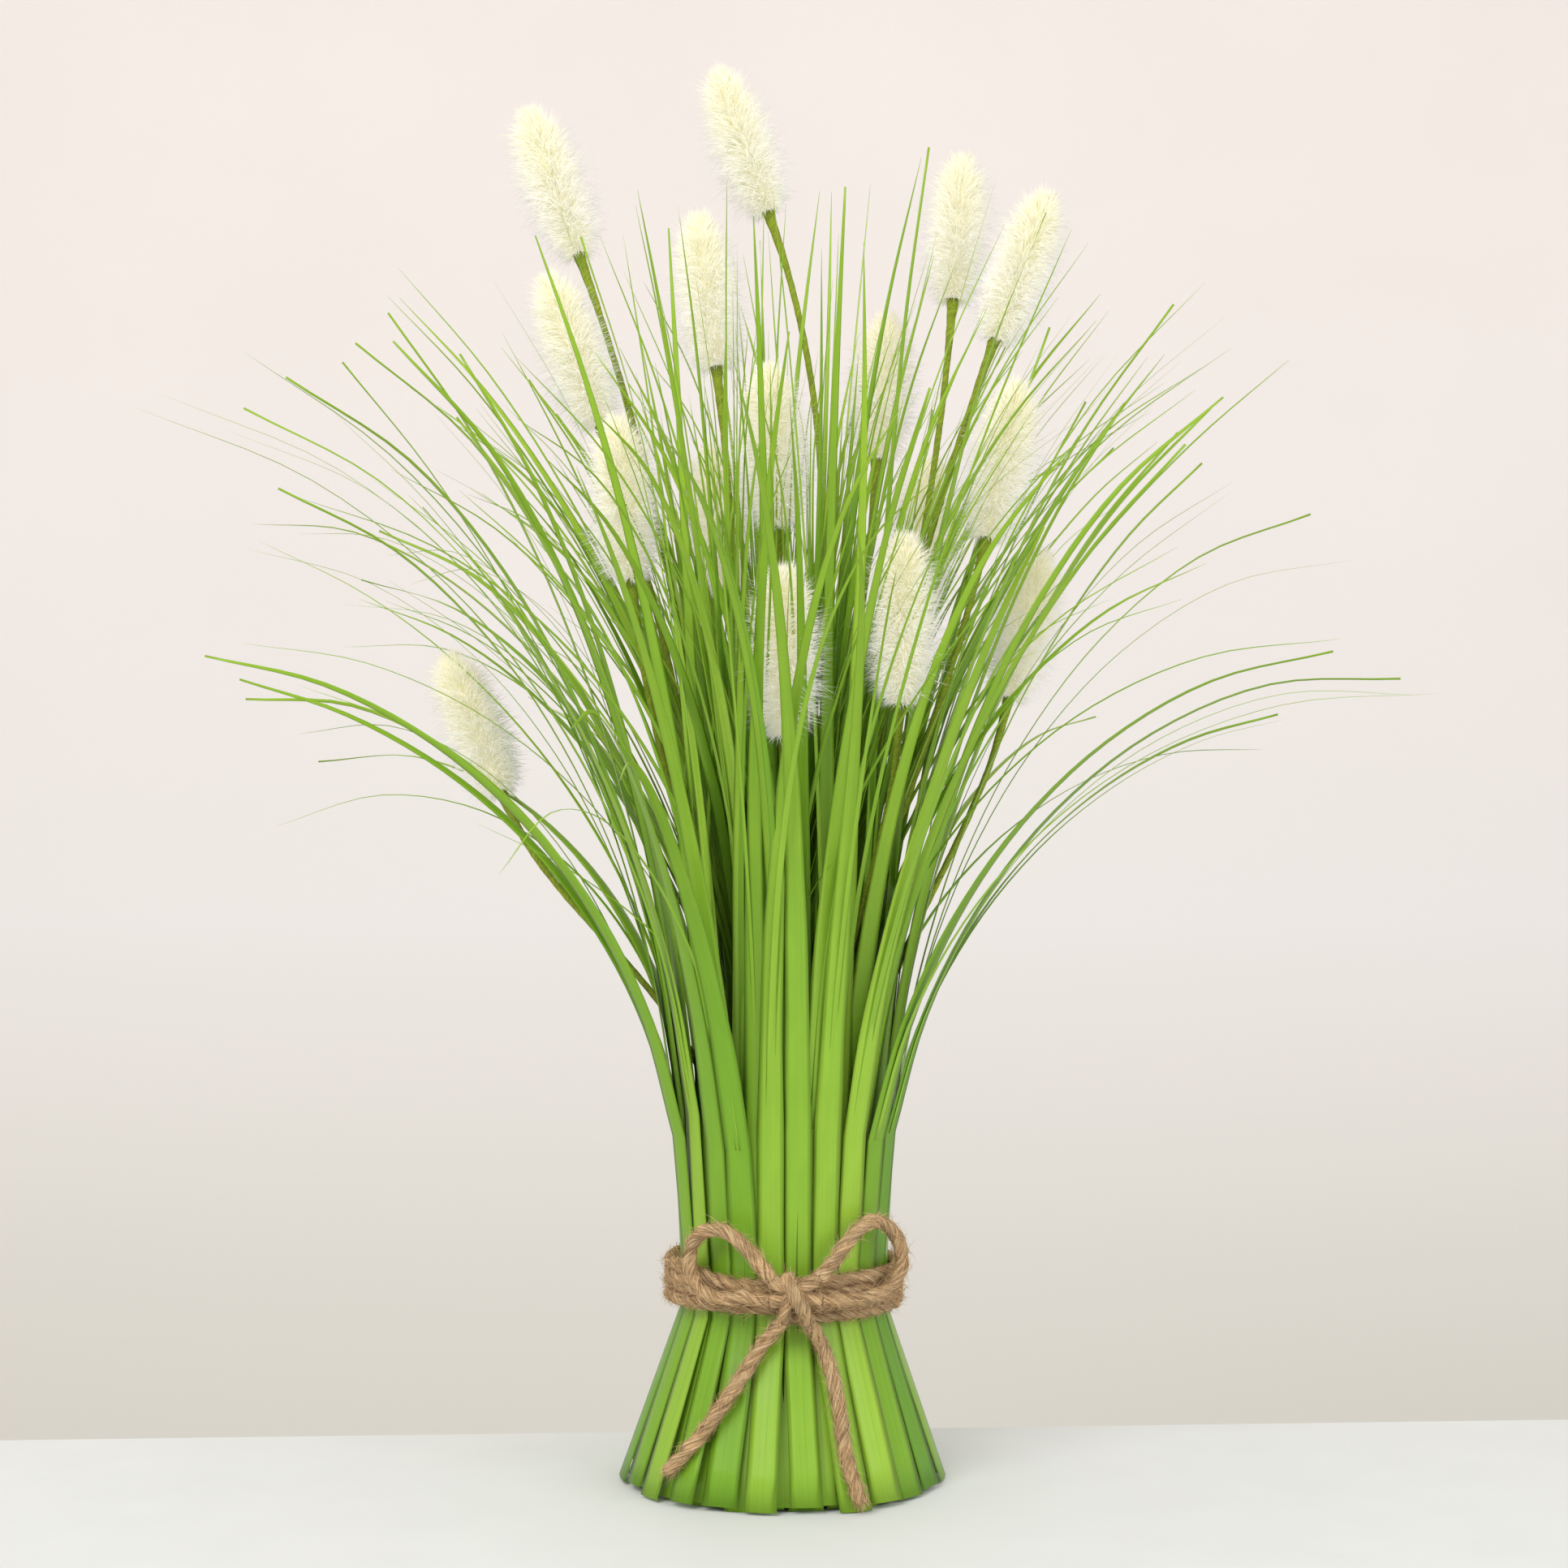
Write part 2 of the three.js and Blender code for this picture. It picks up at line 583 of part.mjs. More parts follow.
function coreSolid(paths) {
  const waist = WAIST_RADIUS - 2 * LAYER_PITCH - CORE_GAP;
  const profile = [
    [0, 0],
    [CORE_FOOT_RADIUS, 0],
    [waist, TIE_LOW],
    [waist, TIE_HIGH],
    [CORE_TOP_RADIUS, CORE_TOP],
    [0, CORE_TOP],
  ].map(([r, z]) => new THREE.Vector2(r, z));
  let core = solidOf(new THREE.LatheGeometry(profile, 36).rotateX(Math.PI / 2));
  const bore = (x, y, radius, depth) => {
    const above = 5;
    const hole = new THREE.CylinderGeometry(radius, radius, depth + above, 8);
    hole.rotateX(Math.PI / 2).translate(x, y, CORE_TOP + above - (depth + above) / 2);
    core = core.subtract(solidOf(hole));
  };
  for (const path of paths) {
    const at = path.getPointAt(0);
    bore(at.x, at.y, (STEM_RADIUS + SOCKET_CLEARANCE) / Math.cos(Math.PI / 8), STEM_DEPTH);
  }
  const stub = (STUB_RADIUS + SOCKET_CLEARANCE) / Math.cos(Math.PI / 8);
  bore(0, 0, stub, STUB_DEPTH + SOCKET_CLEARANCE);
  for (let k = 0; k < BUSHES; k++) {
    const at = polar((360 * (k + 0.5)) / BUSHES, BUSH_RING, 0);
    bore(at.x, at.y, stub, STUB_DEPTH + SOCKET_CLEARANCE);
  }
  return core;
}

addTwine();
const stemPaths = addPlumes();
addNode("foam_core", coreSolid(stemPaths), foam);
addTufts();
addBushes();

export default bundle;
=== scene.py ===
"""A bundle of artificial pampas grass, tied with jute twine and standing on its flared foot."""
import math
from collections import defaultdict

import bpy
import numpy as np
from bpy.props import FloatProperty, FloatVectorProperty, IntProperty, PointerProperty
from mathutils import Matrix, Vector


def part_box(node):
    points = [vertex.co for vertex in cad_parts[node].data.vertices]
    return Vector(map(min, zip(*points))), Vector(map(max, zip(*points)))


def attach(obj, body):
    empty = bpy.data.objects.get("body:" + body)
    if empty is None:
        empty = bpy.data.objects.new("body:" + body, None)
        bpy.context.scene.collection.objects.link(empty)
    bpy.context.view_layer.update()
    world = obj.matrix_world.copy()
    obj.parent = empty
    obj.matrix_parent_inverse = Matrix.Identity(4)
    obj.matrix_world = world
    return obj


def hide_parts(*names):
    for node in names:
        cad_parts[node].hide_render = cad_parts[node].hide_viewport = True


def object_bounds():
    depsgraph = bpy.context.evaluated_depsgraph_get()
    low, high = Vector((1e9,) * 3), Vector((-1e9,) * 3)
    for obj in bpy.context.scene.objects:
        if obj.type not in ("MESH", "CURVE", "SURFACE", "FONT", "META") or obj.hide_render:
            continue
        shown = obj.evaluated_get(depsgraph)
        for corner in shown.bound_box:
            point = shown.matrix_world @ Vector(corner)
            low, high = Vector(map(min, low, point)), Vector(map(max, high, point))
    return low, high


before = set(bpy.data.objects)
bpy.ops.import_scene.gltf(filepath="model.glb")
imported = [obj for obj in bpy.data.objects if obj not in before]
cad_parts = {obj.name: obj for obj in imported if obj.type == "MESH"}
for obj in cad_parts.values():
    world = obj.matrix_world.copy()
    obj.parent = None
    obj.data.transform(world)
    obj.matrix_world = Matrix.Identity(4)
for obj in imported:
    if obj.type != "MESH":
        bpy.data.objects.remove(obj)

CAD_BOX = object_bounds()

bl_info = {
    "name": "Pampas Grass Bundle",
    "version": (1, 0, 0),
    "blender": (4, 5, 0),
    "location": "View3D > Sidebar > Grass Bundle",
    "description": "Builds the looks of a tied bundle of artificial pampas grass round its frame",
    "category": "Add Mesh",
}

MM = 0.001
UP = Vector((0, 0, 1))
BODY = "root"
PER_MICROMETRE = 1e6
LEVEL = 0.01 * MM  # points whose heights differ by less are level
BUSH_NECK_RISE = 12 * MM  # from the top of the core to the necks of the inner blades


# ---------------------------------------------------------------- what the frame says

def nodes_like(prefix):
    return sorted(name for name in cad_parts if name.startswith(prefix))


def welded(node):
    """A node's points, each once, and for each point the points that it shares an edge with."""
    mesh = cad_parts[node].data
    known, points, number = {}, [], []
    for vertex in mesh.vertices:
        key = tuple(round(c * PER_MICROMETRE) for c in vertex.co)
        if key not in known:
            known[key] = len(points)
            points.append(vertex.co.copy())
        number.append(known[key])
    links = defaultdict(set)
    for edge in mesh.edges:
        a, b = (number[i] for i in edge.vertices)
        if a != b:
            links[a].add(b)
            links[b].add(a)
    return points, links


def rings_from(points, links, start, allowed):
    """The rings of points met one after the other on the way along a solid from its first ring."""
    rings, seen = [sorted(start)], set(start)
    while True:
        near = {j for i in rings[-1] for j in links[i] if j in allowed and j not in seen}
        if not near:
            return [[points[i] for i in ring] for ring in rings]
        rings.append(sorted(near))
        seen |= near


def groups(links, members):
    """The members, parted into the sets that hang together."""
    left = set(members)
    while left:
        group, edge = set(), {min(left)}
        while edge:
            group |= edge
            edge = {j for i in edge for j in links[i] if j in left} - group
        left -= group
        yield group


def section(ring, before):
    """Centre, direction across, outward normal and width of a blade's three-point ring."""
    pairs = [(ring[i], ring[j], ring[3 - i - j]) for i, j in ((0, 1), (0, 2), (1, 2))]
    a, b, ridge = max(pairs, key=lambda p: (p[0] - p[1]).length)
    centre = (a + b) / 2
    across = (b - a).normalized()
    if before is not None and before["across"].dot(across) < 0:
        across.negate()
    normal = (ridge - centre).normalized()
    return {"centre": centre, "across": across, "normal": normal, "width": (a - b).length}


def blade_parts(node, root_height, upwards):
    """The sections of each blade of a node on one side of a height, from that height on."""
    points, links = welded(node)
    side = 1 if upwards else -1
    allowed = {i for i, p in enumerate(points) if side * (p.z - root_height) > -LEVEL}
    parts = []
    for group in groups(links, allowed):
        start = [i for i in group if abs(points[i].z - root_height) < LEVEL]
        sections = []
        for ring in rings_from(points, links, start, group):
            if len(ring) != 3:
                raise RuntimeError(f"{node}: a blade's ring has {len(ring)} points")
            sections.append(section(ring, sections[-1] if sections else None))
        parts.append(sections)
    return parts


def strap_blades(node):
    """Each whole strap blade of a tuft, from its cut end through the tie to its tip."""
    low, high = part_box("twine_wraps")
    skirts = blade_parts(node, low.z, upwards=False)
    whole = []
    for free in blade_parts(node, high.z, upwards=True):
        root = free[0]["centre"].xy
        skirt = min(skirts, key=lambda s: (s[0]["centre"].xy - root).length)
        below = list(reversed(skirt))
        for part in below:
            if part["across"].dot(free[0]["across"]) < 0:
                part["across"] = -part["across"]
        whole.append(below + free)
    return whole


def bush_blades(node):
    """Each blade of an inner bush, from the neck above its moulded stub to its tip."""
    return blade_parts(node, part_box("foam_core")[1].z + BUSH_NECK_RISE, upwards=True)


def stem_rings(node):
    """The rings of points along a plume's stem, from its foot in the core to its flared end."""
    points, links = welded(node)
    foot = min(p.z for p in points)
    start = [i for i, p in enumerate(points) if p.z - foot < LEVEL]
    return rings_from(points, links, start, set(range(len(points))))


def middle(ring):
    return sum(ring, Vector()) / len(ring)


def head_axis(stem, head):
    """Where a plume head begins, the way it points and its length."""
    last, previous = stem_rings(stem)[-1], stem_rings(stem)[-2]
    base = middle(last)
    along = (last[1] - last[0]).cross(last[2] - last[0]).normalized()
    if along.dot(base - middle(previous)) < 0:
        along.negate()
    reaches = [(v.co - base).dot(along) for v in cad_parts[head].data.vertices]
    return base + along * min(reaches), along, max(reaches) - min(reaches)


# ---------------------------------------------------------------- making meshes

def lerp(a, b, t):
    return a + (b - a) * t


def smooth(t):
    t = min(1.0, max(0.0, t))
    return t * t * (3 - 2 * t)


def through(values, knots, t):
    """The smooth curve through values at uneven knots, at t."""
    k = max(0, min(len(knots) - 2, int(np.searchsorted(knots, t)) - 1))

    def slope(i):
        if i == 0:
            return (values[1] - values[0]) / (knots[1] - knots[0])
        if i == len(knots) - 1:
            return (values[-1] - values[-2]) / (knots[-1] - knots[-2])
        before, after = knots[i] - knots[i - 1], knots[i + 1] - knots[i]
        left = (values[i] - values[i - 1]) / before
        right = (values[i + 1] - values[i]) / after
        return (left * after + right * before) / (before + after)

    span = knots[k + 1] - knots[k]
    u = (t - knots[k]) / span
    square, cube = u * u, u * u * u
    return (
        values[k] * (2 * cube - 3 * square + 1)
        + slope(k) * (span * (cube - 2 * square + u))
        + values[k + 1] * (3 * square - 2 * cube)
        + slope(k + 1) * (span * (cube - square))
    )


def chord_knots(points):
    knots = [0.0]
    for a, b in zip(points, points[1:]):
        knots.append(knots[-1] + (b - a).length)
    return knots


FIBRE_TAPER = 0.85  # thickness of a fibre at its middle, as part of that at its root
FIBRE_REACHES = (0, 0, 0, 0.55, 0.55, 0.55, 1.0)  # how far along a fibre each of its seven points is


class Pile:
    """Collects the points, faces, unwrapping and per-point values of one piece."""

    def __init__(self):
        self.points, self.faces, self.unwrap = [], [], []
        self.lay, self.tone, self.reach = [], [], []

    def add(self, points, faces, unwrap, lay, tone, reach):
        base = len(self.points)
        self.points += [tuple(p) for p in points]
        self.faces += [tuple(base + i for i in face) for face in faces]
        self.unwrap += unwrap
        self.lay += [tuple(v) for v in lay]
        self.tone += tone
        self.reach += reach

    def tube(self, rings, lays, tone, reaches, column, columns):
        """A closed skin through rings of points. It takes one column of the unwrapped square.

        Its two end faces lie below the column's first row and above its last.
        """
        n, last = len(rings[0]), len(rings) - 1
        faces, unwrap = [], []
        for k in range(last):
            for i in range(n):
                j = (i + 1) % n
                faces.append((k * n + i, k * n + j, (k + 1) * n + j, (k + 1) * n + i))
                for corner, row in ((i, k), (i + 1, k), (i + 1, k + 1), (i, k + 1)):
                    across = (column + 0.04 + 0.9 * corner / n) / columns
                    unwrap.append((across, 0.01 + 0.97 * row / last))
        for ring, row in ((range(n - 1, -1, -1), 0), (range(n), last)):
            faces.append(tuple(row * n + i for i in ring))
            for i in ring:
                turn = math.tau * i / n
                across = (column + 0.5 + 0.3 * math.cos(turn)) / columns
                unwrap.append((across, 0.004 + 0.985 * row / last + 0.003 * math.sin(turn)))
        self.add(
            [p for ring in rings for p in ring],
            faces,
            unwrap,
            [v for ring in lays for v in ring],
            [tone] * (n * len(rings)),
            [r for r in reaches for _ in range(n)],
        )

    def fibres(self, roots, middles, tips, radius, tones, heights):
        """Fine tapered fibres with a three-sided section, all given as arrays."""
        count = len(roots)
        way = tips - roots
        way /= np.linalg.norm(way, axis=1)[:, None] + 1e-12
        helper = np.where(np.abs(way[:, 2:3]) < 0.9, [[0.0, 0.0, 1.0]], [[1.0, 0.0, 0.0]])
        side = np.cross(way, helper)
        side /= np.linalg.norm(side, axis=1)[:, None]
        other = np.cross(way, side)
        points = np.empty((count, 7, 3))
        for i in range(3):
            turn = math.tau * i / 3
            out = side * math.cos(turn) + other * math.sin(turn)
            points[:, i] = roots + out * radius
            points[:, 3 + i] = middles + out * radius * FIBRE_TAPER
        points[:, 6] = tips
        pattern = [(0, 1, 4, 3), (1, 2, 5, 4), (2, 0, 3, 5), (3, 4, 6), (4, 5, 6), (5, 3, 6)]
        rows = (0.02, 0.02, 0.02, 0.5, 0.5, 0.5, 0.98)
        faces, unwrap = [], []
        for f in range(count):
            column = 0.01 + 0.97 * float(heights[f])
            for face in pattern:
                faces.append(tuple(7 * f + i for i in face))
                unwrap += [(column + 0.001 * (i % 3), rows[i]) for i in face]
        reach = np.tile(FIBRE_REACHES, count)
        lay = np.repeat(np.stack([heights, tones, heights * 0], axis=1), 7, axis=0)
        self.add(
            points.reshape(-1, 3).tolist(),
            faces,
            unwrap,
            lay.tolist(),
            np.repeat(tones, 7).tolist(),
            reach.tolist(),
        )

    def piece(self, name, material, slot, *replaced):
        mesh = bpy.data.meshes.new(name)
        mesh.from_pydata(self.points, [], self.faces)
        mesh.attributes.new("lay", "FLOAT_VECTOR", "POINT").data.foreach_set(
            "vector", np.array(self.lay, dtype=np.float32).ravel()
        )
        for attribute, values in (("tone", self.tone), ("reach", self.reach)):
            mesh.attributes.new(attribute, "FLOAT", "POINT").data.foreach_set(
                "value", np.array(values, dtype=np.float32)
            )
        layer = mesh.uv_layers.new(name="OFBake")
        layer.data.foreach_set("uv", np.array(self.unwrap, dtype=np.float32).ravel())
        mesh.shade_smooth()
        mesh.materials.append(material)
        mesh.validate()
        piece = bpy.data.objects.new(name, mesh)
        bpy.context.scene.collection.objects.link(piece)
        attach(piece, BODY)
        if replaced:
            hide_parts(*replaced)
        return piece


def carried_frames(path):
    """At each point of a path the way along it and two directions across, carried on without twist."""
    frames, side = [], None
    for k, point in enumerate(path):
        after = path[min(k + 1, len(path) - 1)]
        before = path[max(k - 1, 0)]
        along = (after - before).normalized()
        if side is None:
            side = along.cross(Vector((0.3, 0.2, 1))).normalized()
        side = (side - along * side.dot(along)).normalized()
        frames.append((point, along, side, along.cross(side)))
    return frames


FINE = 400  # steps that a smooth curve is first drawn in


def even_path(points, step):
    """Points at even steps along the smooth curve through given points."""
    knots = chord_knots(points)
    return even_steps([through(points, knots, knots[-1] * k / FINE) for k in range(FINE + 1)], step)


def even_steps(points, step):
    """Points already close together, thinned to even steps."""
    runs = chord_knots(points)
    count = max(2, round(runs[-1] / step))
    path = []
    for k in range(count + 1):
        target = runs[-1] * k / count
        i = min(len(points) - 1, max(1, int(np.searchsorted(runs, target))))
        part = (target - runs[i - 1]) / (runs[i] - runs[i - 1])
        path.append(lerp(points[i - 1], points[i], part))
    return path


# ---------------------------------------------------------------- materials

def new_material(name):
    material = bpy.data.materials.new(name)
    material.use_nodes = True
    return material, material.node_tree, material.node_tree.nodes["Principled BSDF"]


def named(tree, kind, **inputs):
    node = tree.nodes.new(kind)
    for key, value in inputs.items():
        node.inputs[key.replace("_", " ")].default_value = value
    return node


def attribute(tree, name, vector=False):
    node = tree.nodes.new("ShaderNodeAttribute")
    node.attribute_name = name
    return node.outputs["Vector" if vector else "Fac"]


def sized(tree, vector, scale):
    node = tree.nodes.new("ShaderNodeVectorMath")
    node.operation = "MULTIPLY"
    node.inputs[1].default_value = scale
    tree.links.new(vector, node.inputs[0])
    return node.outputs[0]


def noise(tree, vector, scale=1.0, detail=2.0, roughness=0.5):
    node = named(tree, "ShaderNodeTexNoise", Scale=scale, Detail=detail, Roughness=roughness)
    tree.links.new(vector, node.inputs["Vector"])
    return node.outputs["Fac"]


def ranged(tree, value, low, high, to_low=0.0, to_high=1.0):
    node = tree.nodes.new("ShaderNodeMapRange")
    for place, number in enumerate((low, high, to_low, to_high), start=1):
        node.inputs[place].default_value = number
    tree.links.new(value, node.inputs[0])
    return node.outputs[0]


def mixed(tree, factor, a, b, blend="MIX"):
    node = tree.nodes.new("ShaderNodeMix")
    node.data_type = "RGBA"
    node.blend_type = blend
    for socket, value in ((node.inputs[0], factor), (node.inputs[6], a), (node.inputs[7], b)):
        if isinstance(value, bpy.types.NodeSocket):
            tree.links.new(value, socket)
        else:
            socket.default_value = value
    return node.outputs[2]


def tinted(tree, mask, colour, tint):
    """A colour multiplied by a tint as far as the mask says."""
    return mixed(tree, mask, colour, rgba(tint), "MULTIPLY")


def bumped(tree, height, strength, distance, shader):
    node = named(tree, "ShaderNodeBump", Strength=strength, Distance=distance)
    tree.links.new(height, node.inputs["Height"])
    tree.links.new(node.outputs["Normal"], shader.inputs["Normal"])


def rgba(colour, gain=1.0):
    return (*[c * gain for c in colour], 1.0)


def effect(name, inputs, outputs):
    """An empty node group with named sockets, given as name and kind."""
    tree = bpy.data.node_groups.new(name, "ShaderNodeTree")
    for label, kind in inputs:
        tree.interface.new_socket(name=label, in_out="INPUT", socket_type=kind)
    for label, kind in outputs:
        tree.interface.new_socket(name=label, in_out="OUTPUT", socket_type=kind)
    return tree, tree.nodes.new("NodeGroupInput").outputs, tree.nodes.new("NodeGroupOutput").inputs


def placed(tree, group, **inputs):
    node = tree.nodes.new("ShaderNodeGroup")
    node.node_tree = group
    for key, value in inputs.items():
        socket = node.inputs[key.replace("_", " ")]
        if isinstance(value, bpy.types.NodeSocket):
            tree.links.new(value, socket)
        else:
            socket.default_value = value
    return node.outputs


def drawn_plastic_effect():
    """Lengthwise drawing lines, slow blotches and a change of tone from blade to blade."""
    tree, given, made = effect(
        "Drawn Plastic",
        [
            ("Lay", "NodeSocketVector"), ("Tone", "NodeSocketFloat"), ("Reach", "NodeSocketFloat"),
            ("Deep", "NodeSocketColor"), ("Bright", "NodeSocketColor"), ("Tip", "NodeSocketColor"),
        ],
        [("Colour", "NodeSocketColor"), ("Lines", "NodeSocketFloat"), ("Roughness", "NodeSocketFloat")],
    )
    lines = noise(tree, sized(tree, given["Lay"], (1800, 0, 9)), detail=3, roughness=0.6)
    blotch = noise(tree, sized(tree, given["Lay"], (90, 0, 34)), detail=2)
    colour = mixed(tree, given["Tone"], given["Deep"], given["Bright"])
    colour = mixed(tree, ranged(tree, given["Reach"], 0.45, 1.0, 0.0, 0.75), colour, given["Tip"])
    colour = tinted(tree, ranged(tree, lines, 0.52, 0.72, 0.0, 0.7), colour, (0.72, 0.76, 0.6))
    colour = tinted(tree, ranged(tree, blotch, 0.45, 0.7, 0.0, 0.8), colour, (1.16, 1.1, 1.2))
    tree.links.new(colour, made["Colour"])
    tree.links.new(lines, made["Lines"])
    satin = ranged(tree, blotch, 0.3, 0.75, 0.3, 0.5)
    gloss = tree.nodes.new("ShaderNodeMath")
    gloss.operation = "MULTIPLY"
    tree.links.new(satin, gloss.inputs[0])
    tree.links.new(ranged(tree, given["Tone"], 0.8, 0.95, 1.0, 0.55), gloss.inputs[1])
    tree.links.new(gloss.outputs[0], made["Roughness"])
    return tree


def blade_material(name, group, deep, bright, tip, specular):
    material, tree, shader = new_material(name)
    out = placed(
        tree,
        group,
        Lay=attribute(tree, "lay", vector=True),
        Tone=attribute(tree, "tone"),
        Reach=attribute(tree, "reach"),
        Deep=rgba(deep),
        Bright=rgba(bright),
        Tip=rgba(tip),
    )
    tree.links.new(out["Colour"], shader.inputs["Base Color"])
    tree.links.new(out["Roughness"], shader.inputs["Roughness"])
    bumped(tree, out["Lines"], 0.35, 0.15 * MM, shader)
    shader.inputs["Specular IOR Level"].default_value = specular
    return material


def streaks_effect():
    """Fine fibre streaks that follow the lay of a strand, with pale and dark threads among them."""
    tree, given, made = effect(
        "Fibre Streaks",
        [
            ("Lay", "NodeSocketVector"), ("Tone", "NodeSocketFloat"),
            ("Dark", "NodeSocketColor"), ("Middle", "NodeSocketColor"), ("Pale", "NodeSocketColor"),
        ],
        [("Colour", "NodeSocketColor"), ("Height", "NodeSocketFloat")],
    )
    fine = noise(tree, sized(tree, given["Lay"], (1250, 1250, 110)), detail=5, roughness=0.7)
    broad = noise(tree, sized(tree, given["Lay"], (420, 420, 60)), detail=2)
    colour = mixed(tree, ranged(tree, fine, 0.38, 0.56), given["Dark"], given["Middle"])
    colour = mixed(tree, ranged(tree, fine, 0.56, 0.7, 0.0, 0.9), colour, given["Pale"])
    colour = tinted(tree, ranged(tree, broad, 0.42, 0.66), colour, (1.06, 0.97, 0.86))
    colour = tinted(tree, ranged(tree, given["Tone"], 0.0, 1.0, 0.0, 0.6), colour, (1.3, 1.3, 1.3))
    tree.links.new(colour, made["Colour"])
    tree.links.new(fine, made["Height"])
    return tree


def jute_material(name, group, gain):
    twine = bpy.context.scene.bundle_twine
    material, tree, shader = new_material(name)
    out = placed(
        tree,
        group,
        Lay=attribute(tree, "lay", vector=True),
        Tone=attribute(tree, "tone"),
        Dark=rgba(twine.dark, gain),
        Middle=rgba(twine.middle, gain),
        Pale=rgba(twine.pale, gain),
    )
    tree.links.new(out["Colour"], shader.inputs["Base Color"])
    bumped(tree, out["Height"], 0.9, 0.5 * MM, shader)
    shader.inputs["Roughness"].default_value = 0.85
    shader.inputs["Specular IOR Level"].default_value = 0.25
    return material


def tape_material(group):
    plume = bpy.context.scene.bundle_plumes
    material, tree, shader = new_material("stem_tape")
    out = placed(
        tree,
        group,
        Lay=attribute(tree, "lay", vector=True),
        Tone=attribute(tree, "tone"),
        Dark=rgba(plume.tape, 0.6),
        Middle=rgba(plume.tape),
        Pale=rgba(plume.tape, 1.45),
    )
    tree.links.new(out["Colour"], shader.inputs["Base Color"])
    bumped(tree, out["Height"], 0.5, 0.15 * MM, shader)
    shader.inputs["Roughness"].default_value = 0.75
    return material


PAINTED_GLOW = 0.13  # painted glow: the pile gives off light of its own colour, standing in for the light that scatters from fibre to fibre through the white pile


def plume_material(name, root, tip):
    """Soft pile, yellower at the roots and towards the top of a head and white at its ends."""
    material, tree, shader = new_material(name)
    height = tree.nodes.new("ShaderNodeSeparateXYZ")
    tree.links.new(attribute(tree, "lay", vector=True), height.inputs[0])
    reach = attribute(tree, "reach")
    colour = mixed(tree, ranged(tree, reach, 0.25, 0.95), rgba(root), rgba(tip))
    upper = ranged(tree, height.outputs[0], 0.35, 1.0, 0.0, 0.75)
    colour = tinted(tree, upper, colour, (1.0, 0.98, 0.79))
    some = ranged(tree, attribute(tree, "tone"), 0.6, 1.0, 0.0, 0.7)
    colour = tinted(tree, some, colour, (0.88, 0.9, 0.9))
    tree.links.new(colour, shader.inputs["Base Color"])
    # painted glow: the pile's own colour is also given off as light, to brighten it as scattered light would
    tree.links.new(colour, shader.inputs["Emission Color"])
    shader.inputs["Emission Strength"].default_value = PAINTED_GLOW
    shader.inputs["Roughness"].default_value = 0.7
    shader.inputs["Specular IOR Level"].default_value = 0.2
    shader.inputs["Sheen Weight"].default_value = 0.25
    return material


def foam_material(colour):
    material, tree, shader = new_material("floral_foam")
    place = tree.nodes.new("ShaderNodeTexCoord").outputs["Object"]
    pores = named(tree, "ShaderNodeTexVoronoi", Scale=900.0)
    tree.links.new(place, pores.inputs["Vector"])
    cells = pores.outputs["Distance"]
    cloud = noise(tree, place, scale=60.0, detail=4)
    # painted shade: the pores, which the bump dents in, are darkened to under half the foam's colour
    shade = mixed(tree, ranged(tree, cells, 0.1, 0.6), rgba(colour, 0.45), rgba(colour))
    tree.links.new(tinted(tree, cloud, shade, (1.3, 1.25, 1.2)), shader.inputs["Base Color"])
    bumped(tree, cells, 0.9, 0.6 * MM, shader)
    shader.inputs["Roughness"].default_value = 0.9
    return material


def plain_material(name, colour, grain_scale, grain_depth):
    material, tree, shader = new_material(name)
    place = tree.nodes.new("ShaderNodeTexCoord").outputs["Object"]
    cloud = noise(tree, place, scale=grain_scale, detail=5)
    shade = mixed(tree, ranged(tree, cloud, 0.3, 0.7), rgba(colour, 0.97), rgba(colour))
    tree.links.new(shade, shader.inputs["Base Color"])
    bumped(tree, cloud, 0.1, grain_depth, shader)
    shader.inputs["Roughness"].default_value = 0.7
    return material


def paper_with_painted_shade():
    """The backdrop's paper, with painted shade: darker towards the bottom and palest at the top."""
    material = plain_material("backdrop_paper", (0.96, 0.935, 0.935), 4.0, 0.3 * MM)
    tree = material.node_tree
    shader = tree.nodes["Principled BSDF"]
    place = tree.nodes.new("ShaderNodeSeparateXYZ")
    tree.links.new(tree.nodes.new("ShaderNodeTexCoord").outputs["Object"], place.inputs[0])
    height = place.outputs[2]
    low, painted_shade_middle = (0.68, 0.70, 0.66, 1), (0.85, 0.87, 0.875, 1)
    top = shader.inputs["Base Color"].links[0].from_socket
    # painted shade: the paper darkens downwards, from its own colour high up to the middle tone and then the
    # low tone at the bottom
    shade = mixed(tree, ranged(tree, height, -0.24, 0.12), low, painted_shade_middle)
    shade = mixed(tree, ranged(tree, height, 0.12, 0.9), shade, top)
    tree.links.new(shade, shader.inputs["Base Color"])
    return material


# ---------------------------------------------------------------- blades

# Across a blade: place from edge to edge, then the height of the outer face as part of the fold's height.
OUTER_FACE = ((-1.0, 0.0), (-0.55, 0.52), (-0.12, 0.97), (0.12, 0.97), (0.55, 0.52), (1.0, 0.0))
INNER_FACE = ((0.6, 0.42), (0.0, 0.92), (-0.6, 0.42))


SLIMMED = 0.72  # how much of its width a folded blade shows towards its tip
FOLD_RISE = 0.22  # height of a full fold, as part of half the blade's width
EDGE_WAVER = 0.03
FOLD_WAVER = 0.25
LONG_SECTION = 30 * MM  # shorter sections are drawn in fewer steps


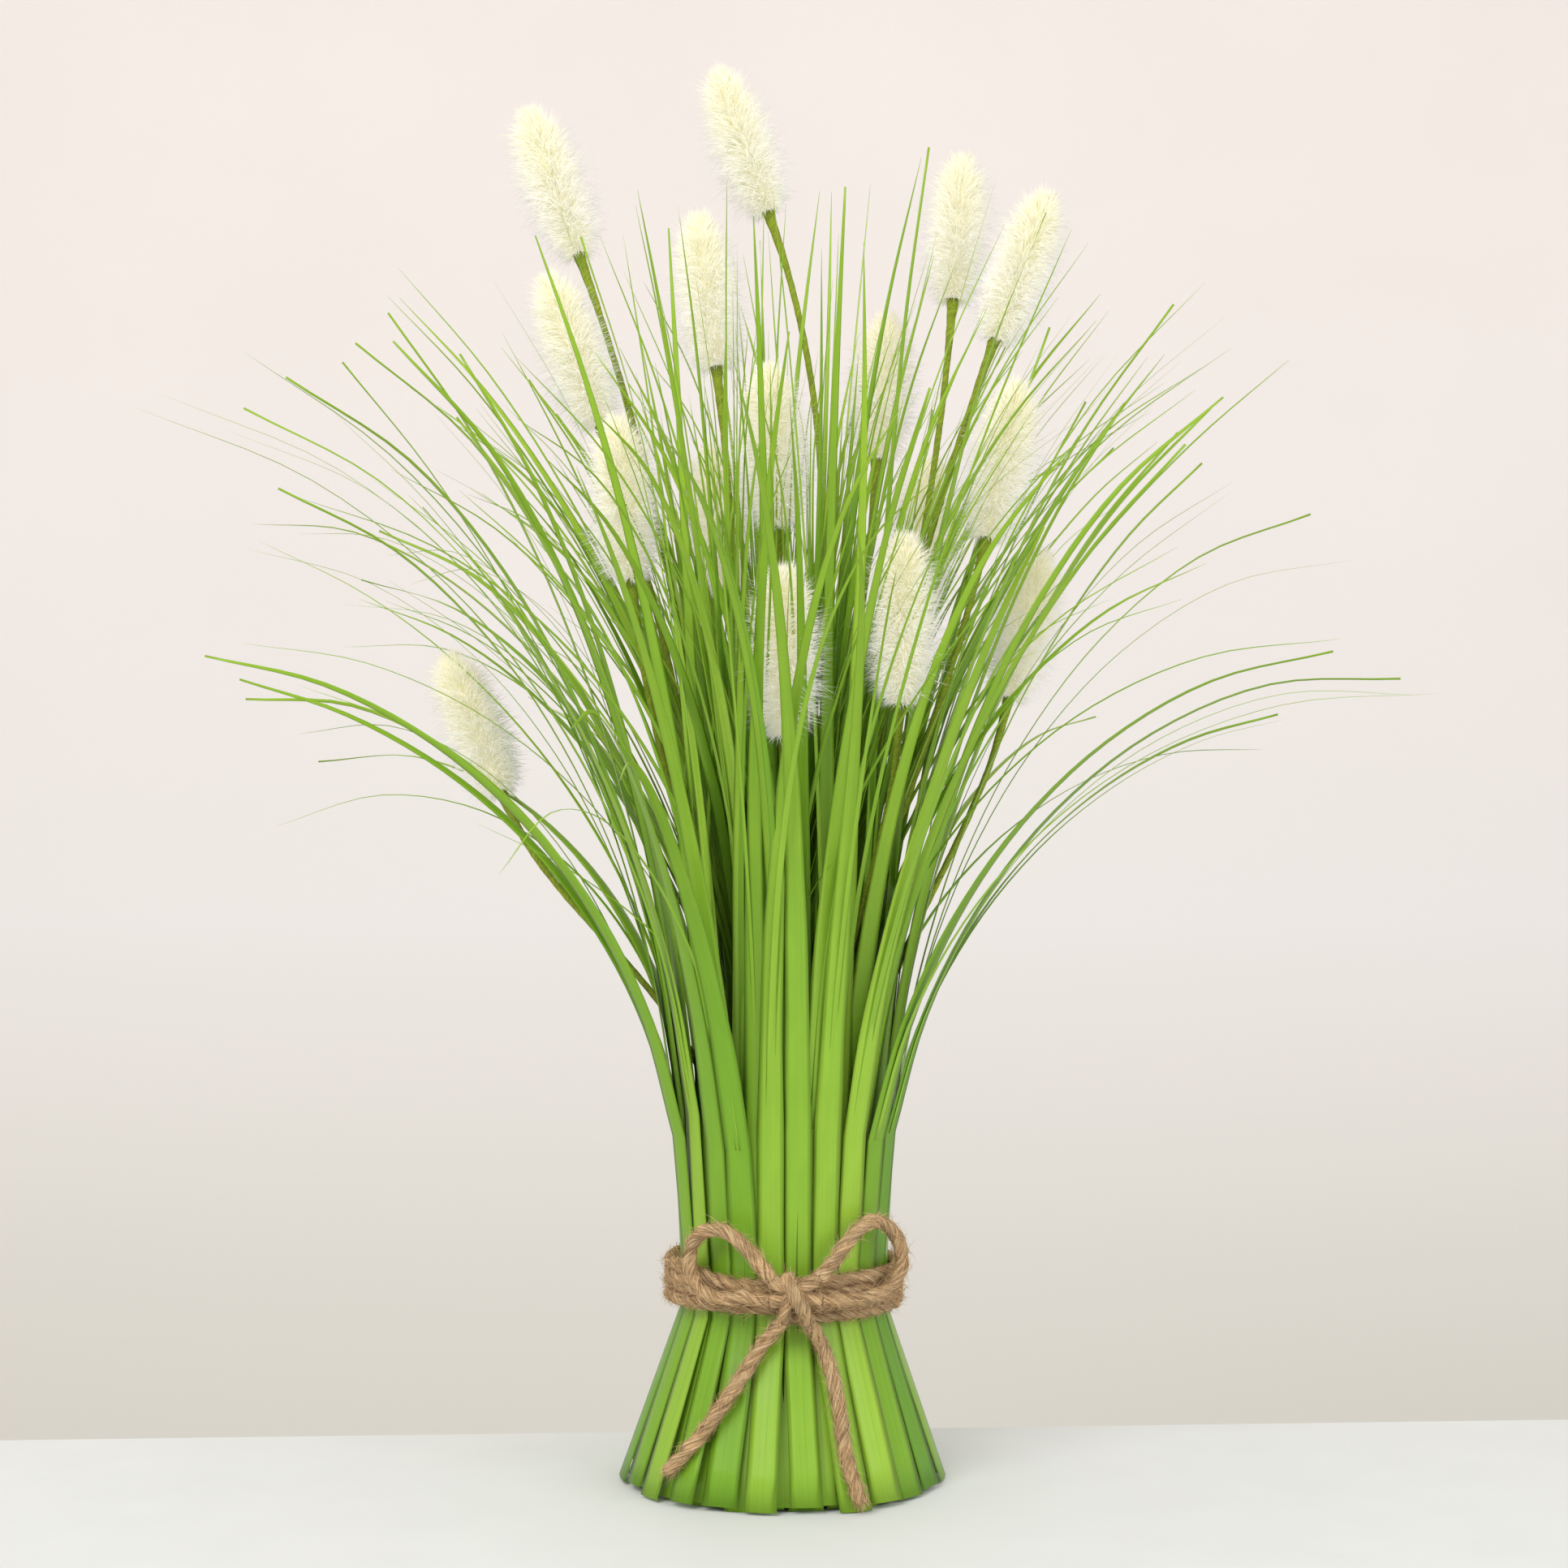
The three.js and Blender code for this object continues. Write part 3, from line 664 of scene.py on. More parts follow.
def blade_rings(sections, rng, shape, thickness, per_section, straight):
    """A folded strap drawn finely along a blade's sections, with its tip drawn out to a point.

    `shape` gives its fold, how far it laps over its neighbours and how far one edge stands higher. Its
    first `straight` sections are joined in straight lines, the others in a smooth curve.
    """
    centres = [s["centre"] for s in sections]
    knots = chord_knots(centres)

    def at(values, place):
        if place < knots[straight]:
            k = int(np.searchsorted(knots, place, side="right")) - 1
            return lerp(values[k], values[k + 1], (place - knots[k]) / (knots[k + 1] - knots[k]))
        return through(values[straight:], knots[straight:], place)

    total = knots[-1]
    places = [0.0]
    for a, b in zip(knots, knots[1:]):
        pieces = max(2, round(per_section * min(1.0, (b - a) / LONG_SECTION)))
        places += [lerp(a, b, (k + 1) / pieces) for k in range(pieces)]
    acrosses = [s["across"] for s in sections]
    normals = [s["normal"] for s in sections]
    widths = [s["width"] for s in sections]
    sway = rng.uniform(0, math.tau)
    rings, lays, reaches = [], [], []
    for place in places:
        part = place / total
        centre = at(centres, place)
        across = at(acrosses, place).normalized()
        normal = at(normals, place)
        normal = (normal - across * normal.dot(across)).normalized()
        width = np.interp(place, knots, widths) * (1 - 0.9 * part**12) * shape["lap"]
        width *= lerp(1.0, SLIMMED, smooth((part - 0.42) / 0.4))
        half = 0.5 * width * (1 + EDGE_WAVER * math.sin(sway + 40 * part))
        height = shape["fold"] * half * FOLD_RISE * (1 + FOLD_WAVER * math.sin(1.7 * sway + 17 * part))
        ring, lay = [], []
        for face, drop in ((INNER_FACE, thickness), (OUTER_FACE, 0.0)):
            for u, h in face:
                rise = h * height + u * shape["tilt"] - drop * min(1.0, half / MM)
                ring.append(centre + across * (u * half) + normal * rise)
                lay.append((u * half, 0.0, place))
        rings.append(ring)
        lays.append(lay)
        reaches.append(part)
    return rings, lays, reaches


STRAP = {"straight": 3, "folds": (0.12, 0.5), "lap": 1.13, "tilt": 0.42 * MM, "tones": (2.5, 2.0)}
FINE_BLADE = {"straight": 0, "folds": (0.5, 1.2), "lap": 1.0, "tilt": 0.0, "tones": (1.3, 1.2)}
WISP = {"folds": (0.5, 1.2), "lap": 1.0, "tilt": 0.0}


def make_blades(name, node, blades, material, slot, seed, kind, wisps):
    """All the blades of one node as one piece, with fine wisps beside them.

    A strap's first sections, below the top of the tie, are straight, and wisps leave them out.
    """
    settings = bpy.context.scene.bundle_blades
    rng = np.random.default_rng(seed)
    pile = Pile()
    straight = kind["straight"]
    wanted = [(blade, kind, straight) for blade in blades]
    for k in range(wisps):
        sections = blades[k % len(blades)][straight:]
        wanted.append((strayed(sections, rng), WISP, 0))
    for column, (sections, look, straights) in enumerate(wanted):
        fold = rng.choice((-1.0, 1.0, 1.0)) * rng.uniform(*look["folds"])
        shape = {"fold": fold, "lap": look["lap"], "tilt": look["tilt"]}
        tone = float(rng.beta(*kind["tones"]))
        rings, lays, reaches = blade_rings(
            sections, rng, shape, settings.thickness, settings.smoothness, straights
        )
        pile.tube(rings, lays, tone, reaches, column, len(wanted))
    return pile.piece(name, material, slot, node)


WISP_MARGIN = 6 * MM  # how far a wisp may stand out of the frame's box
WISP_WIDTH = 1.1 * MM  # the narrowest wisp


def strayed(sections, rng):
    """A fine wisp that starts with a blade and wanders off beside it, but not out of the bundle's box."""
    slim = rng.uniform(0.2, 0.42)
    size = rng.uniform(12, 100) * MM
    turn = rng.uniform(0, math.tau)
    drop = rng.uniform(-4, 30) * MM
    way = Vector((math.cos(turn), math.sin(turn), 0))
    tip = sections[-1]["centre"]
    while size > 2 * MM and not in_box(tip + way * size, WISP_MARGIN):
        size *= 0.75
    last = len(sections) - 1
    return [
        {
            **part,
            "centre": part["centre"] + way * (size * (k / last) ** 2) - UP * (drop * (k / last) ** 3),
            "width": max(WISP_WIDTH, part["width"] * slim),
        }
        for k, part in enumerate(sections)
    ]


def in_box(point, margin):
    low, high = CAD_BOX
    return all(low[i] - margin < point[i] < high[i] + margin for i in range(2))


# ---------------------------------------------------------------- plumes

TAPE_PITCH = 7.5 * MM
FLARE = 9 * MM  # length over which a stem swells under its plume


def stem_piece(node, material, seed):
    """A wire wrapped with tape in a slow spiral, flared where the plume is set into it."""
    rng = np.random.default_rng(seed)
    rings = stem_rings(node)
    centres = [middle(ring) for ring in rings]
    radii = [(ring[0] - centre).length for ring, centre in zip(rings, centres)]
    knots = chord_knots(centres)
    path = even_path(centres, 2.2 * MM)
    runs = chord_knots(path)
    sides = 10
    start = rng.uniform(0, math.tau)
    skin, lays = [], []
    for (point, along, side, other), run in zip(carried_frames(path), runs):
        place = run / runs[-1] * knots[-1]
        radius = np.interp(place, knots, radii)
        radius *= 1 + 0.22 * smooth((place - knots[-1] + FLARE) / FLARE)
        ring, lay = [], []
        for i in range(sides):
            turn = math.tau * i / sides
            seam = (turn + start - math.tau * run / TAPE_PITCH) / math.tau % 1.0
            swell = 1 + 0.13 * (1 - seam)
            out = side * math.cos(turn) + other * math.sin(turn)
            ring.append(point + out * (radius * swell))
            lay.append((seam * 6 * MM, run * 0.2, run))
        skin.append(ring)
        lays.append(lay)
    pile = Pile()
    pile.tube(skin, lays, float(rng.uniform(0.1, 0.9)), [r / runs[-1] for r in runs], 0, 1)
    return pile.piece("wrapped_" + node, material, "stem_wrap", node)


def spread_about(along, rng, count):
    """Unit vectors square to a direction, all the way round it."""
    side = along.orthogonal().normalized()
    other = along.cross(side)
    turn = rng.uniform(0, math.tau, count)
    return (
        np.outer(np.cos(turn), np.array(side)) + np.outer(np.sin(turn), np.array(other)),
        np.array(along),
    )


# Up a head from its base: how long the fibres are, as part of the full length, and how far they lean upwards.
FULLNESS = ((0.0, 0.1, 0.3, 0.55, 0.8, 0.93, 1.0), (0.4, 0.78, 1, 1, 0.88, 0.64, 0.46))
LIFT = ((0.0, 0.12, 0.6, 0.85, 1.0), (-0.25, 0.05, 0.3, 0.8, 4.5))
ROUNDED_FROM = 0.85  # from here up the roots close in to a rounded end
HEAD_SHORT = 4 * MM  # how far the topmost roots stay under the top


def plume_piece(stem, head, material, seed):
    """A foxtail head: a padded middle set with soft fibres that stand out and upwards all round it."""
    plumes = bpy.context.scene.bundle_plumes
    rng = np.random.default_rng(seed)
    base, along, length = head_axis(stem, head)
    count = plumes.fibres
    height = np.maximum(rng.uniform(-0.02, 1.0, count), 0) ** 0.96
    out, axis = spread_about(along, rng, count)
    lift = np.interp(height, *LIFT) + rng.normal(0, 0.24, count)
    reach = plumes.fibre_length * np.interp(height, *FULLNESS) * rng.triangular(0.55, 0.85, 1.2, count)
    ways = out + axis * lift[:, None] + rng.normal(0, 0.14, (count, 3))
    ways /= np.linalg.norm(ways, axis=1)[:, None]
    crown = np.sqrt(1 - np.clip((height - ROUNDED_FROM) / 0.16, 0, 1) ** 2)
    roots = np.array(base) + np.outer(height * (length - HEAD_SHORT), axis)
    roots += out * (plumes.core_radius * crown)[:, None]
    roots -= np.outer(np.where(height > 0.97, 2 * MM, 0), axis)
    bend = rng.normal(0, 0.13, (count, 3)) - np.array([[0, 0, 0.1]])
    middles = roots + ways * (0.52 * reach)[:, None]
    tips = roots + (ways + bend) * reach[:, None]
    pile = Pile()
    add_padding(pile, base, along, length, plumes.core_radius, rng)
    pile.fibres(roots, middles, tips, plumes.fibre_radius, rng.uniform(0, 1, count), np.clip(height, 0, 1))
    return pile.piece("fluffy_" + head, material, "plume_fibre", head)


def add_padding(pile, base, along, length, core, rng):
    """The dense middle of a head, where the fibres are too thick to see through."""
    sides, rows = 14, 16
    side = along.orthogonal().normalized()
    other = along.cross(side)
    rings, lays, reaches = [], [], []
    for k in range(rows + 1):
        part = k / rows
        swell = math.sqrt(max(0.0, 1 - (2 * part - 1) ** 2))
        point = base + along * (part * (length - HEAD_SHORT) + 1 * MM)
        ring = []
        for i in range(sides):
            turn = math.tau * (i + 0.5 * k) / sides
            radius = (0.4 * MM + core * 1.35 * swell) * rng.uniform(0.88, 1.12)
            ring.append(point + (side * math.cos(turn) + other * math.sin(turn)) * radius)
        rings.append(ring)
        lays.append([(part, 0.3, 0.0)] * sides)
        reaches.append(0.15)
    pile.tube(rings, lays, 0.3, reaches, 0, 1)


# ---------------------------------------------------------------- twine

# The free strands of the bow, given from the middle of the knot, in millimetres: side to the right, rise, and
# how far out the strand's middle lies from what is behind it.
STRANDS = {
    "bow_loop_left": (
        (-8, 4.6, 2.6), (-13.2, 10.7, 1.6), (-19.7, 17.7, 6.7), (-26, 21.6, 6.5), (-36, 18, 6.4),
        (-38.4, 9.9, 1), (-36.5, 2.2, 1.1), (-27.6, -3, 2.3), (-17.5, -1.7, 1.5), (-9.2, -3, 4.1),
    ),
    "bow_loop_right": (
        (8, 5, 2.8), (13.5, 10.1, 0.8), (19.1, 17.8, 7.1), (29, 23.6, 5.2), (36.7, 17.7, 6.7),
        (39.3, 9.6, 3.2), (35.4, -0.8, 2.8), (28.7, -3.4, 1.4), (19.6, -3.9, 1.1), (9.4, -2.8, 4.5),
    ),
    "twine_tail_left": (
        (-4.5, -10, 2.4), (-11.5, -19, 1.2), (-18.5, -29.5, 1), (-25.5, -39.5, 0.8), (-34.5, -52, 0.8),
        (-42, -60.5, 0.9), (-46, -65, 1.2),
    ),
    "twine_tail_right": (
        (4.8, -10.6, 2.4), (9.2, -19, 1.2), (12.5, -28, 1), (14.6, -35, 0.8), (16.4, -45, 0.8),
        (17.5, -54, 0.8), (19.8, -63, 0.8), (22, -69, 0.9), (23.5, -73.2, 1.2),
    ),
}
# They are laid out for this twine and this height of the knot, and are scaled to the real ones.
LAID_TWINE = 5.4 * MM
LAID_KNOT_HEIGHT = 77.2 * MM
FOOT_OUTSIDE = 62.6 * MM  # outside of the blades at the foot


def band():
    """Inside and outside radius, lowest and highest edge of the turns of twine."""
    low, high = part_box("twine_wraps")
    outside = (high.x - low.x) / 2
    return outside - bpy.context.scene.bundle_twine.diameter, outside, low.z, high.z


def knot_middle():
    low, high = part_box("twine_knot")
    return (low + high) / 2


def strand_points(name):
    """The given points of a free strand, in metres."""
    inside, outside, low, high = band()
    knot = knot_middle()
    half = bpy.context.scene.bundle_twine.diameter / 2
    size = 2 * half / LAID_TWINE
    points = []
    for side, rise, out in STRANDS[name]:
        x = knot.x + side * size * MM
        z = knot.z + rise * MM * (size if rise > 0 else knot.z / LAID_KNOT_HEIGHT)
        skirt = lerp(FOOT_OUTSIDE, inside, min(1.0, z / low))
        over_band = low - half < z < high + half
        reach = (max(outside, skirt) if over_band else skirt) + half + out * size * MM
        points.append(Vector((x, -math.sqrt(reach * reach - x * x), z)))
    return points


PLY = 0.6  # radius of a ply, as part of the twine's


def ply_radius(angle, radius):
    """Outline of three plies laid together, at an angle from the crest of one of them."""
    third = math.tau / 3
    a = (angle + third / 2) % third - third / 2
    ply, offset = PLY * radius, (1 - PLY) * radius
    return offset * math.cos(a) + math.sqrt(ply * ply - (offset * math.sin(a)) ** 2)


TWINE_SIDES = 18


def add_twine(pile, path, rng, column=0, columns=1, thin=1.0):
    """Three-ply twine along a path of even steps."""
    twine = bpy.context.scene.bundle_twine
    radius = thin * twine.diameter / 2
    start = rng.uniform(0, math.tau)
    runs = chord_knots(path)
    waver = rng.uniform(0, math.tau, 3)
    rings, lays = [], []
    for (point, _, side, other), run in zip(carried_frames(path), runs):
        twist = start + math.tau * run / twine.pitch + 0.35 * math.sin(waver[0] + run * 90)
        plump = 1 + 0.05 * math.sin(waver[1] + run * 420) + 0.04 * math.sin(waver[2] + run * 1130)
        ring, lay = [], []
        for i in range(TWINE_SIDES):
            turn = math.tau * i / TWINE_SIDES
            reach = ply_radius(turn, radius) * plump * (1 + rng.normal(0, 0.018))
            angle = turn + twist
            ring.append(point + (side * math.cos(angle) + other * math.sin(angle)) * reach)
            lay.append((math.cos(turn) * radius, math.sin(turn) * radius, run))
        rings.append(ring)
        lays.append(lay)
    pile.tube(rings, lays, float(rng.uniform(0.2, 0.8)), [r / runs[-1] for r in runs], column, columns)


FUZZ_RADIUS = 0.075 * MM
FUZZ_LENGTH = 8 * MM  # of the longest loose fibre on a strand
KNOT_FUZZ = 6 * MM  # of the longest one on the knot


def add_fuzz(pile, path, rng, per_metre, longest):
    """Loose jute fibres that lie along a strand and stand off it here and there."""
    frames = carried_frames(path)
    radius = bpy.context.scene.bundle_twine.diameter / 2
    count = int(per_metre * chord_knots(path)[-1])
    picks = rng.integers(0, len(frames), count)
    points, alongs, sides, others = (np.array([[*f[k]] for f in frames])[picks] for k in range(4))
    turn = rng.uniform(0, math.tau, (count, 1))
    outs = sides * np.cos(turn) + others * np.sin(turn)
    rounds = others * np.cos(turn) - sides * np.sin(turn)
    reach = longest * rng.uniform(0.25, 1.0, (count, 1)) ** 1.6
    stand = rng.uniform(0.05, 0.75, (count, 1)) ** 2
    ways = alongs * rng.choice((-1, 1), (count, 1)) + rounds * rng.normal(0, 0.5, (count, 1)) + outs * stand
    ways /= np.linalg.norm(ways, axis=1)[:, None]
    roots = points + outs * radius * rng.uniform(0.72, 0.95, (count, 1))
    middles = roots + ways * reach * 0.5 + outs * 0.25 * MM
    tips = roots + ways * reach + rng.normal(0, 0.12, (count, 3)) * reach
    tips[:, 2] = np.maximum(tips[:, 2], 0.3 * MM)
    pile.fibres(roots, middles, tips, FUZZ_RADIUS, rng.uniform(0, 1, count), rng.uniform(0, 1, count))


def wraps_path():
    """The turns round the waist: level, a little uneven, and the last one laid slanting to the knot."""
    twine = bpy.context.scene.bundle_twine
    inside, outside, low, high = band()
    half = twine.diameter / 2
    turns = twine.turns
    knot = knot_middle()
    steps = int(turns * 150)
    path = []
    for k in range(steps + 1):
        part = k / steps
        turn = math.tau * turns * part
        rise = lerp(low + half, high - half, part)
        rise += 0.45 * MM * math.sin(2.3 * turn + 0.8) + 0.35 * MM * math.sin(0.61 * turn)
        reach = outside - half + 0.25 * MM * math.sin(3.1 * turn)
        last = smooth((part - 1 + 0.2 / turns) * turns / 0.2)
        rise = lerp(rise, knot.z - 1 * MM, last)
        reach += 1.6 * MM * last
        path.append(Vector((reach * math.sin(turn), -reach * math.cos(turn), rise)))
    return path


def knot_paths():
    """The short stretches that make the knot: the strands' ends run in and one turn is drawn over them."""
    knot = knot_middle()
    half = bpy.context.scene.bundle_twine.diameter / 2
    paths = []
    for name, inset in (("bow_loop_left", 1.0), ("bow_loop_right", -1.0)):
        points = strand_points(name)
        for end, depth in ((points[0], -2.2), (points[-1], 1.2)):
            goal = knot + Vector((inset, depth, (end.z - knot.z) / MM * 0.15)) * MM
            bow = lerp(end, goal, 0.5) + Vector((0, -1.2 * MM, 0))
            paths.append([end, bow, goal])
    for name, side in (("twine_tail_left", -1.5), ("twine_tail_right", 1.5)):
        end = strand_points(name)[0]
        goal = knot + Vector((side, -1.5, 1.5)) * MM
        bow = lerp(end, goal, 0.5) + Vector((0, -1.6 * MM, 0))
        paths.append([end, bow, goal])
    over = []
    for k in range(9):
        turn = math.radians(lerp(-115, 115, k / 8))
        across = math.sin(turn) * (half + 3.4 * MM)
        out = math.cos(turn) * (half + 2.2 * MM)
        over.append(knot + Vector((across * 0.42, -out - 1.4 * MM, -across * 0.95)))
    paths.append(over)
    return paths


# ---------------------------------------------------------------- settings

def length_value(name, description, default, precision=5):
    return FloatProperty(
        name=name, description=description, default=default, unit="LENGTH", precision=precision
    )


def colour_value(name, description, default):
    return FloatVectorProperty(
        name=name, description=description, subtype="COLOR", default=default, min=0, max=1
    )


class BladeSettings(bpy.types.PropertyGroup):
    """Sizes and colours of the grass blades."""

    thickness: length_value("Blade Thickness", "Thickness of the plastic strap", 0.35 * MM)
    smoothness: IntProperty(
        name="Blade Smoothness", description="Steps along each section of a blade", default=5, min=2,
    )
    wisps: IntProperty(
        name="Bush Wisps", description="Fine wisps added to each inner bush", default=26, min=0,
    )
    tuft_wisps: IntProperty(
        name="Tuft Wisps", description="Fine wisps added to each outer tuft", default=5, min=0,
    )
    bright: colour_value("Bright Green", "Colour of the brightest blades", (0.305, 0.515, 0.044))
    deep: colour_value("Deep Green", "Colour of the darkest blades", (0.10, 0.28, 0.008))
    tip: colour_value("Tip Green", "Colour towards the tips", (0.26, 0.44, 0.022))


class PlumeSettings(bpy.types.PropertyGroup):
    """Sizes and colours of the plumes and their stems."""

    fibres: IntProperty(
        name="Fibres", description="Fibres in each plume head", default=5600, min=100,
    )
    fibre_length: length_value("Fibre Length", "Length of a fibre at the middle of a head", 14.5 * MM)
    fibre_radius: length_value("Fibre Radius", "Half the thickness of a fibre", 0.13 * MM, precision=6)
    core_radius: length_value("Core Radius", "Radius that the fibres are rooted at", 1.9 * MM)
    root: colour_value("Fibre Root", "Colour of the fibres near the core", (0.98, 0.96, 0.76))
    end: colour_value("Fibre End", "Colour of the fibres' ends", (0.98, 0.98, 0.965))
    tape: colour_value("Stem Tape", "Colour of the tape round the stems", (0.19, 0.27, 0.006))


class TwineSettings(bpy.types.PropertyGroup):
    """Sizes and colours of the jute twine."""

    diameter: length_value("Twine Diameter", "Thickness of the twine", 5.4 * MM)
    pitch: length_value("Lay", "Length of twine in which a ply goes once round", 24 * MM)
    turns: IntProperty(name="Turns", description="Turns of twine round the waist", default=4, min=1)
    fuzz: IntProperty(
        name="Fuzz", description="Loose fibres on each metre of twine", default=11000, min=0,
    )
    dark: colour_value("Dark Fibre", "Colour between the fibres", (0.17, 0.108, 0.055))
    middle: colour_value("Fibre", "Main colour of the jute", (0.48, 0.345, 0.195))
    pale: colour_value("Pale Fibre", "Colour of the palest fibres", (0.76, 0.60, 0.40))


class StageSettings(bpy.types.PropertyGroup):
    """Camera, table and light."""

    distance: FloatProperty(
        name="Camera Distance", description="From the bundle's middle to the camera", default=1.10,
        unit="LENGTH",
    )
    height: FloatProperty(
        name="Camera Height", description="Height of the camera above the table", default=0.26,
        unit="LENGTH",
    )
    lens: FloatProperty(name="Lens", description="Focal length in millimetres", default=67.2)
    table_back: FloatProperty(
        name="Table Back", description="From the bundle's middle to the back edge of the table",
        default=0.078, unit="LENGTH",
    )
    key: FloatProperty(name="Key Light", description="Power of the key light", default=26.0)
    fill: FloatProperty(name="Fill Light", description="Power of the fill light", default=12.0)


# ---------------------------------------------------------------- operators

class BUNDLE_OT_core(bpy.types.Operator):
    """Give the foam core its finish"""

    bl_idname = "bundle.core"
    bl_label = "Foam Core"

    def execute(self, context):
        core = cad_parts["foam_core"]
        core.data.materials.clear()
        core.data.materials.append(foam_material((0.10, 0.19, 0.06)))
        return {"FINISHED"}


class BUNDLE_OT_tufts(bpy.types.Operator):
    """Make the outer tufts of folded strap blades"""

    bl_idname = "bundle.tufts"
    bl_label = "Outer Tufts"

    def execute(self, context):
        settings = context.scene.bundle_blades
        material = blade_material(
            "strap_plastic", drawn_plastic_effect(), settings.deep, settings.bright, settings.tip, 0.3
        )
        for k, node in enumerate(nodes_like("outer_tuft_")):
            make_blades(
                "straps_" + node, node, strap_blades(node), material, "strap_blades", 100 + k, STRAP,
                settings.tuft_wisps,
            )
        return {"FINISHED"}


class BUNDLE_OT_bushes(bpy.types.Operator):
    """Make the inner bushes of finer blades, with their wisps"""

    bl_idname = "bundle.bushes"
    bl_label = "Inner Bushes"

    def execute(self, context):
        settings = context.scene.bundle_blades
        # painted shade: the inner bushes get a darker copy of the deep green, so they look shaded inside the
        # bundle
        painted_shade_deep = [c * 0.8 for c in settings.deep]
        material = blade_material(
            "fine_plastic", bpy.data.node_groups["Drawn Plastic"], painted_shade_deep, settings.bright, settings.tip, 0.3
        )
        for k, node in enumerate(nodes_like("inner_bush_")):
            make_blades(
                "fine_" + node, node, bush_blades(node), material, "fine_blades", 200 + k, FINE_BLADE,
                settings.wisps,
            )
        return {"FINISHED"}


class BUNDLE_OT_stems(bpy.types.Operator):
    """Make the tape-wrapped stems of the plumes"""

    bl_idname = "bundle.stems"
    bl_label = "Plume Stems"

    def execute(self, context):
        material = tape_material(streaks_effect())
        for k, node in enumerate(nodes_like("plume_stem_")):
            stem_piece(node, material, 300 + k)
        return {"FINISHED"}


class BUNDLE_OT_heads(bpy.types.Operator):
    """Make the fluffy foxtail heads"""

    bl_idname = "bundle.heads"
    bl_label = "Plume Heads"

    def execute(self, context):
        plumes = context.scene.bundle_plumes
        material = plume_material("plume_pile", plumes.root, plumes.end)
        pairs = zip(nodes_like("plume_stem_"), nodes_like("plume_head_"))
        for k, (stem, head) in enumerate(pairs):
            plume_piece(stem, head, material, 400 + k)
        return {"FINISHED"}


class BUNDLE_OT_wraps(bpy.types.Operator):
    """Wind the twine round the waist"""

    bl_idname = "bundle.wraps"
    bl_label = "Twine Turns"

    def execute(self, context):
        rng = np.random.default_rng(500)
        group = bpy.data.node_groups["Fibre Streaks"]
        path = even_steps(wraps_path(), 1.0 * MM)
        pile = Pile()
        add_twine(pile, path, rng)
        pile.piece("jute_turns", jute_material("jute_twine", group, 1.0), "jute", "twine_wraps")
        fuzz = Pile()
        add_fuzz(fuzz, path, rng, context.scene.bundle_twine.fuzz, FUZZ_LENGTH)
        fuzz.piece("jute_turns_fuzz", jute_material("jute_fuzz", group, 1.35), "jute")
        return {"FINISHED"}


class BUNDLE_OT_bow(bpy.types.Operator):
    """Tie the bow: the knot, two loops and two tails"""

    bl_idname = "bundle.bow"
    bl_label = "Twine Bow"

    def execute(self, context):
        rng = np.random.default_rng(600)
        twine = context.scene.bundle_twine
        jute = bpy.data.materials["jute_twine"]
        fuzz = Pile()
        for name in STRANDS:
            path = even_path(strand_points(name), 0.9 * MM)
            pile = Pile()
            add_twine(pile, path, rng)
            strand = pile.piece("jute_" + name, jute, "jute", name)
            route = even_path(strand_points(name), 3 * MM)
            strand_cord(route)
            add_fuzz(fuzz, path, rng, twine.fuzz, FUZZ_LENGTH)
            if "tail" in name:
                add_frayed_end(fuzz, path, rng)
        knot = Pile()
        paths = knot_paths()
        for column, points in enumerate(paths):
            path = even_path(points, 0.9 * MM)
            add_twine(knot, path, rng, column, len(paths), thin=0.94)
            add_fuzz(fuzz, path, rng, twine.fuzz, KNOT_FUZZ)
        knot.piece("jute_knot", jute, "jute", "twine_knot")
        fuzz.piece("jute_bow_fuzz", bpy.data.materials["jute_fuzz"], "jute")
        return {"FINISHED"}


def strand_cord(route):
    """Reads a free strand's first point and its length, and keeps neither."""
    tuple(route[0])
    chord_knots(route)[-1]


FRAYED_FIBRES = 90
FRAYED_RADIUS = 0.09 * MM


def add_frayed_end(pile, path, rng):
    """A brush of loose fibres where a tail was cut."""
    end, before = np.array(path[-1]), np.array(path[-4])
    way = (end - before) / np.linalg.norm(end - before)
    count = FRAYED_FIBRES
    spread = rng.normal(0, 1.0, (count, 3)) * MM
    roots = end + spread - way * 0.8 * MM
    middles = roots + way * MM + spread * 0.15
    tips = middles + way * rng.uniform(0.3, 1.6, (count, 1)) * MM + spread * 0.5
    for points in (roots, middles, tips):
        points[:, 2] = np.maximum(points[:, 2], 0.2 * MM)
    pile.fibres(roots, middles, tips, FRAYED_RADIUS, rng.uniform(0, 1, count), rng.uniform(0, 1, count))


class BUNDLE_OT_stage(bpy.types.Operator):
    """Set the camera, the pale table, the backdrop and soft light"""

    bl_idname = "bundle.stage"
    bl_label = "Stage"

    def execute(self, context):
        stage = context.scene.bundle_stage
        add_camera(stage)
        add_table(stage)
        add_backdrop()
        add_light("key_light", (-0.9, -1.5, 1.5), 1.3, stage.key, (1.0, 0.97, 0.93))
        add_light("fill_light", (1.3, -1.3, 0.8), 1.4, stage.fill, (0.95, 0.97, 1.0))
        world = bpy.data.worlds.new("soft_room")
        world.use_nodes = True
        background = world.node_tree.nodes["Background"]
        background.inputs["Color"].default_value = (0.86, 0.78, 0.73, 1)
        background.inputs["Strength"].default_value = 0.95
        context.scene.world = world
        context.scene.view_settings.view_transform = "Standard"
        return {"FINISHED"}


def add_camera(stage):
    data = bpy.data.cameras.new("front_camera")
    data.sensor_width = 36
    data.lens = stage.lens
    camera = bpy.data.objects.new("front_camera", data)
    camera.location = (0, -stage.distance, stage.height)
    camera.rotation_euler = (math.radians(90), 0, 0)
    bpy.context.scene.collection.objects.link(camera)
    bpy.context.scene.camera = camera


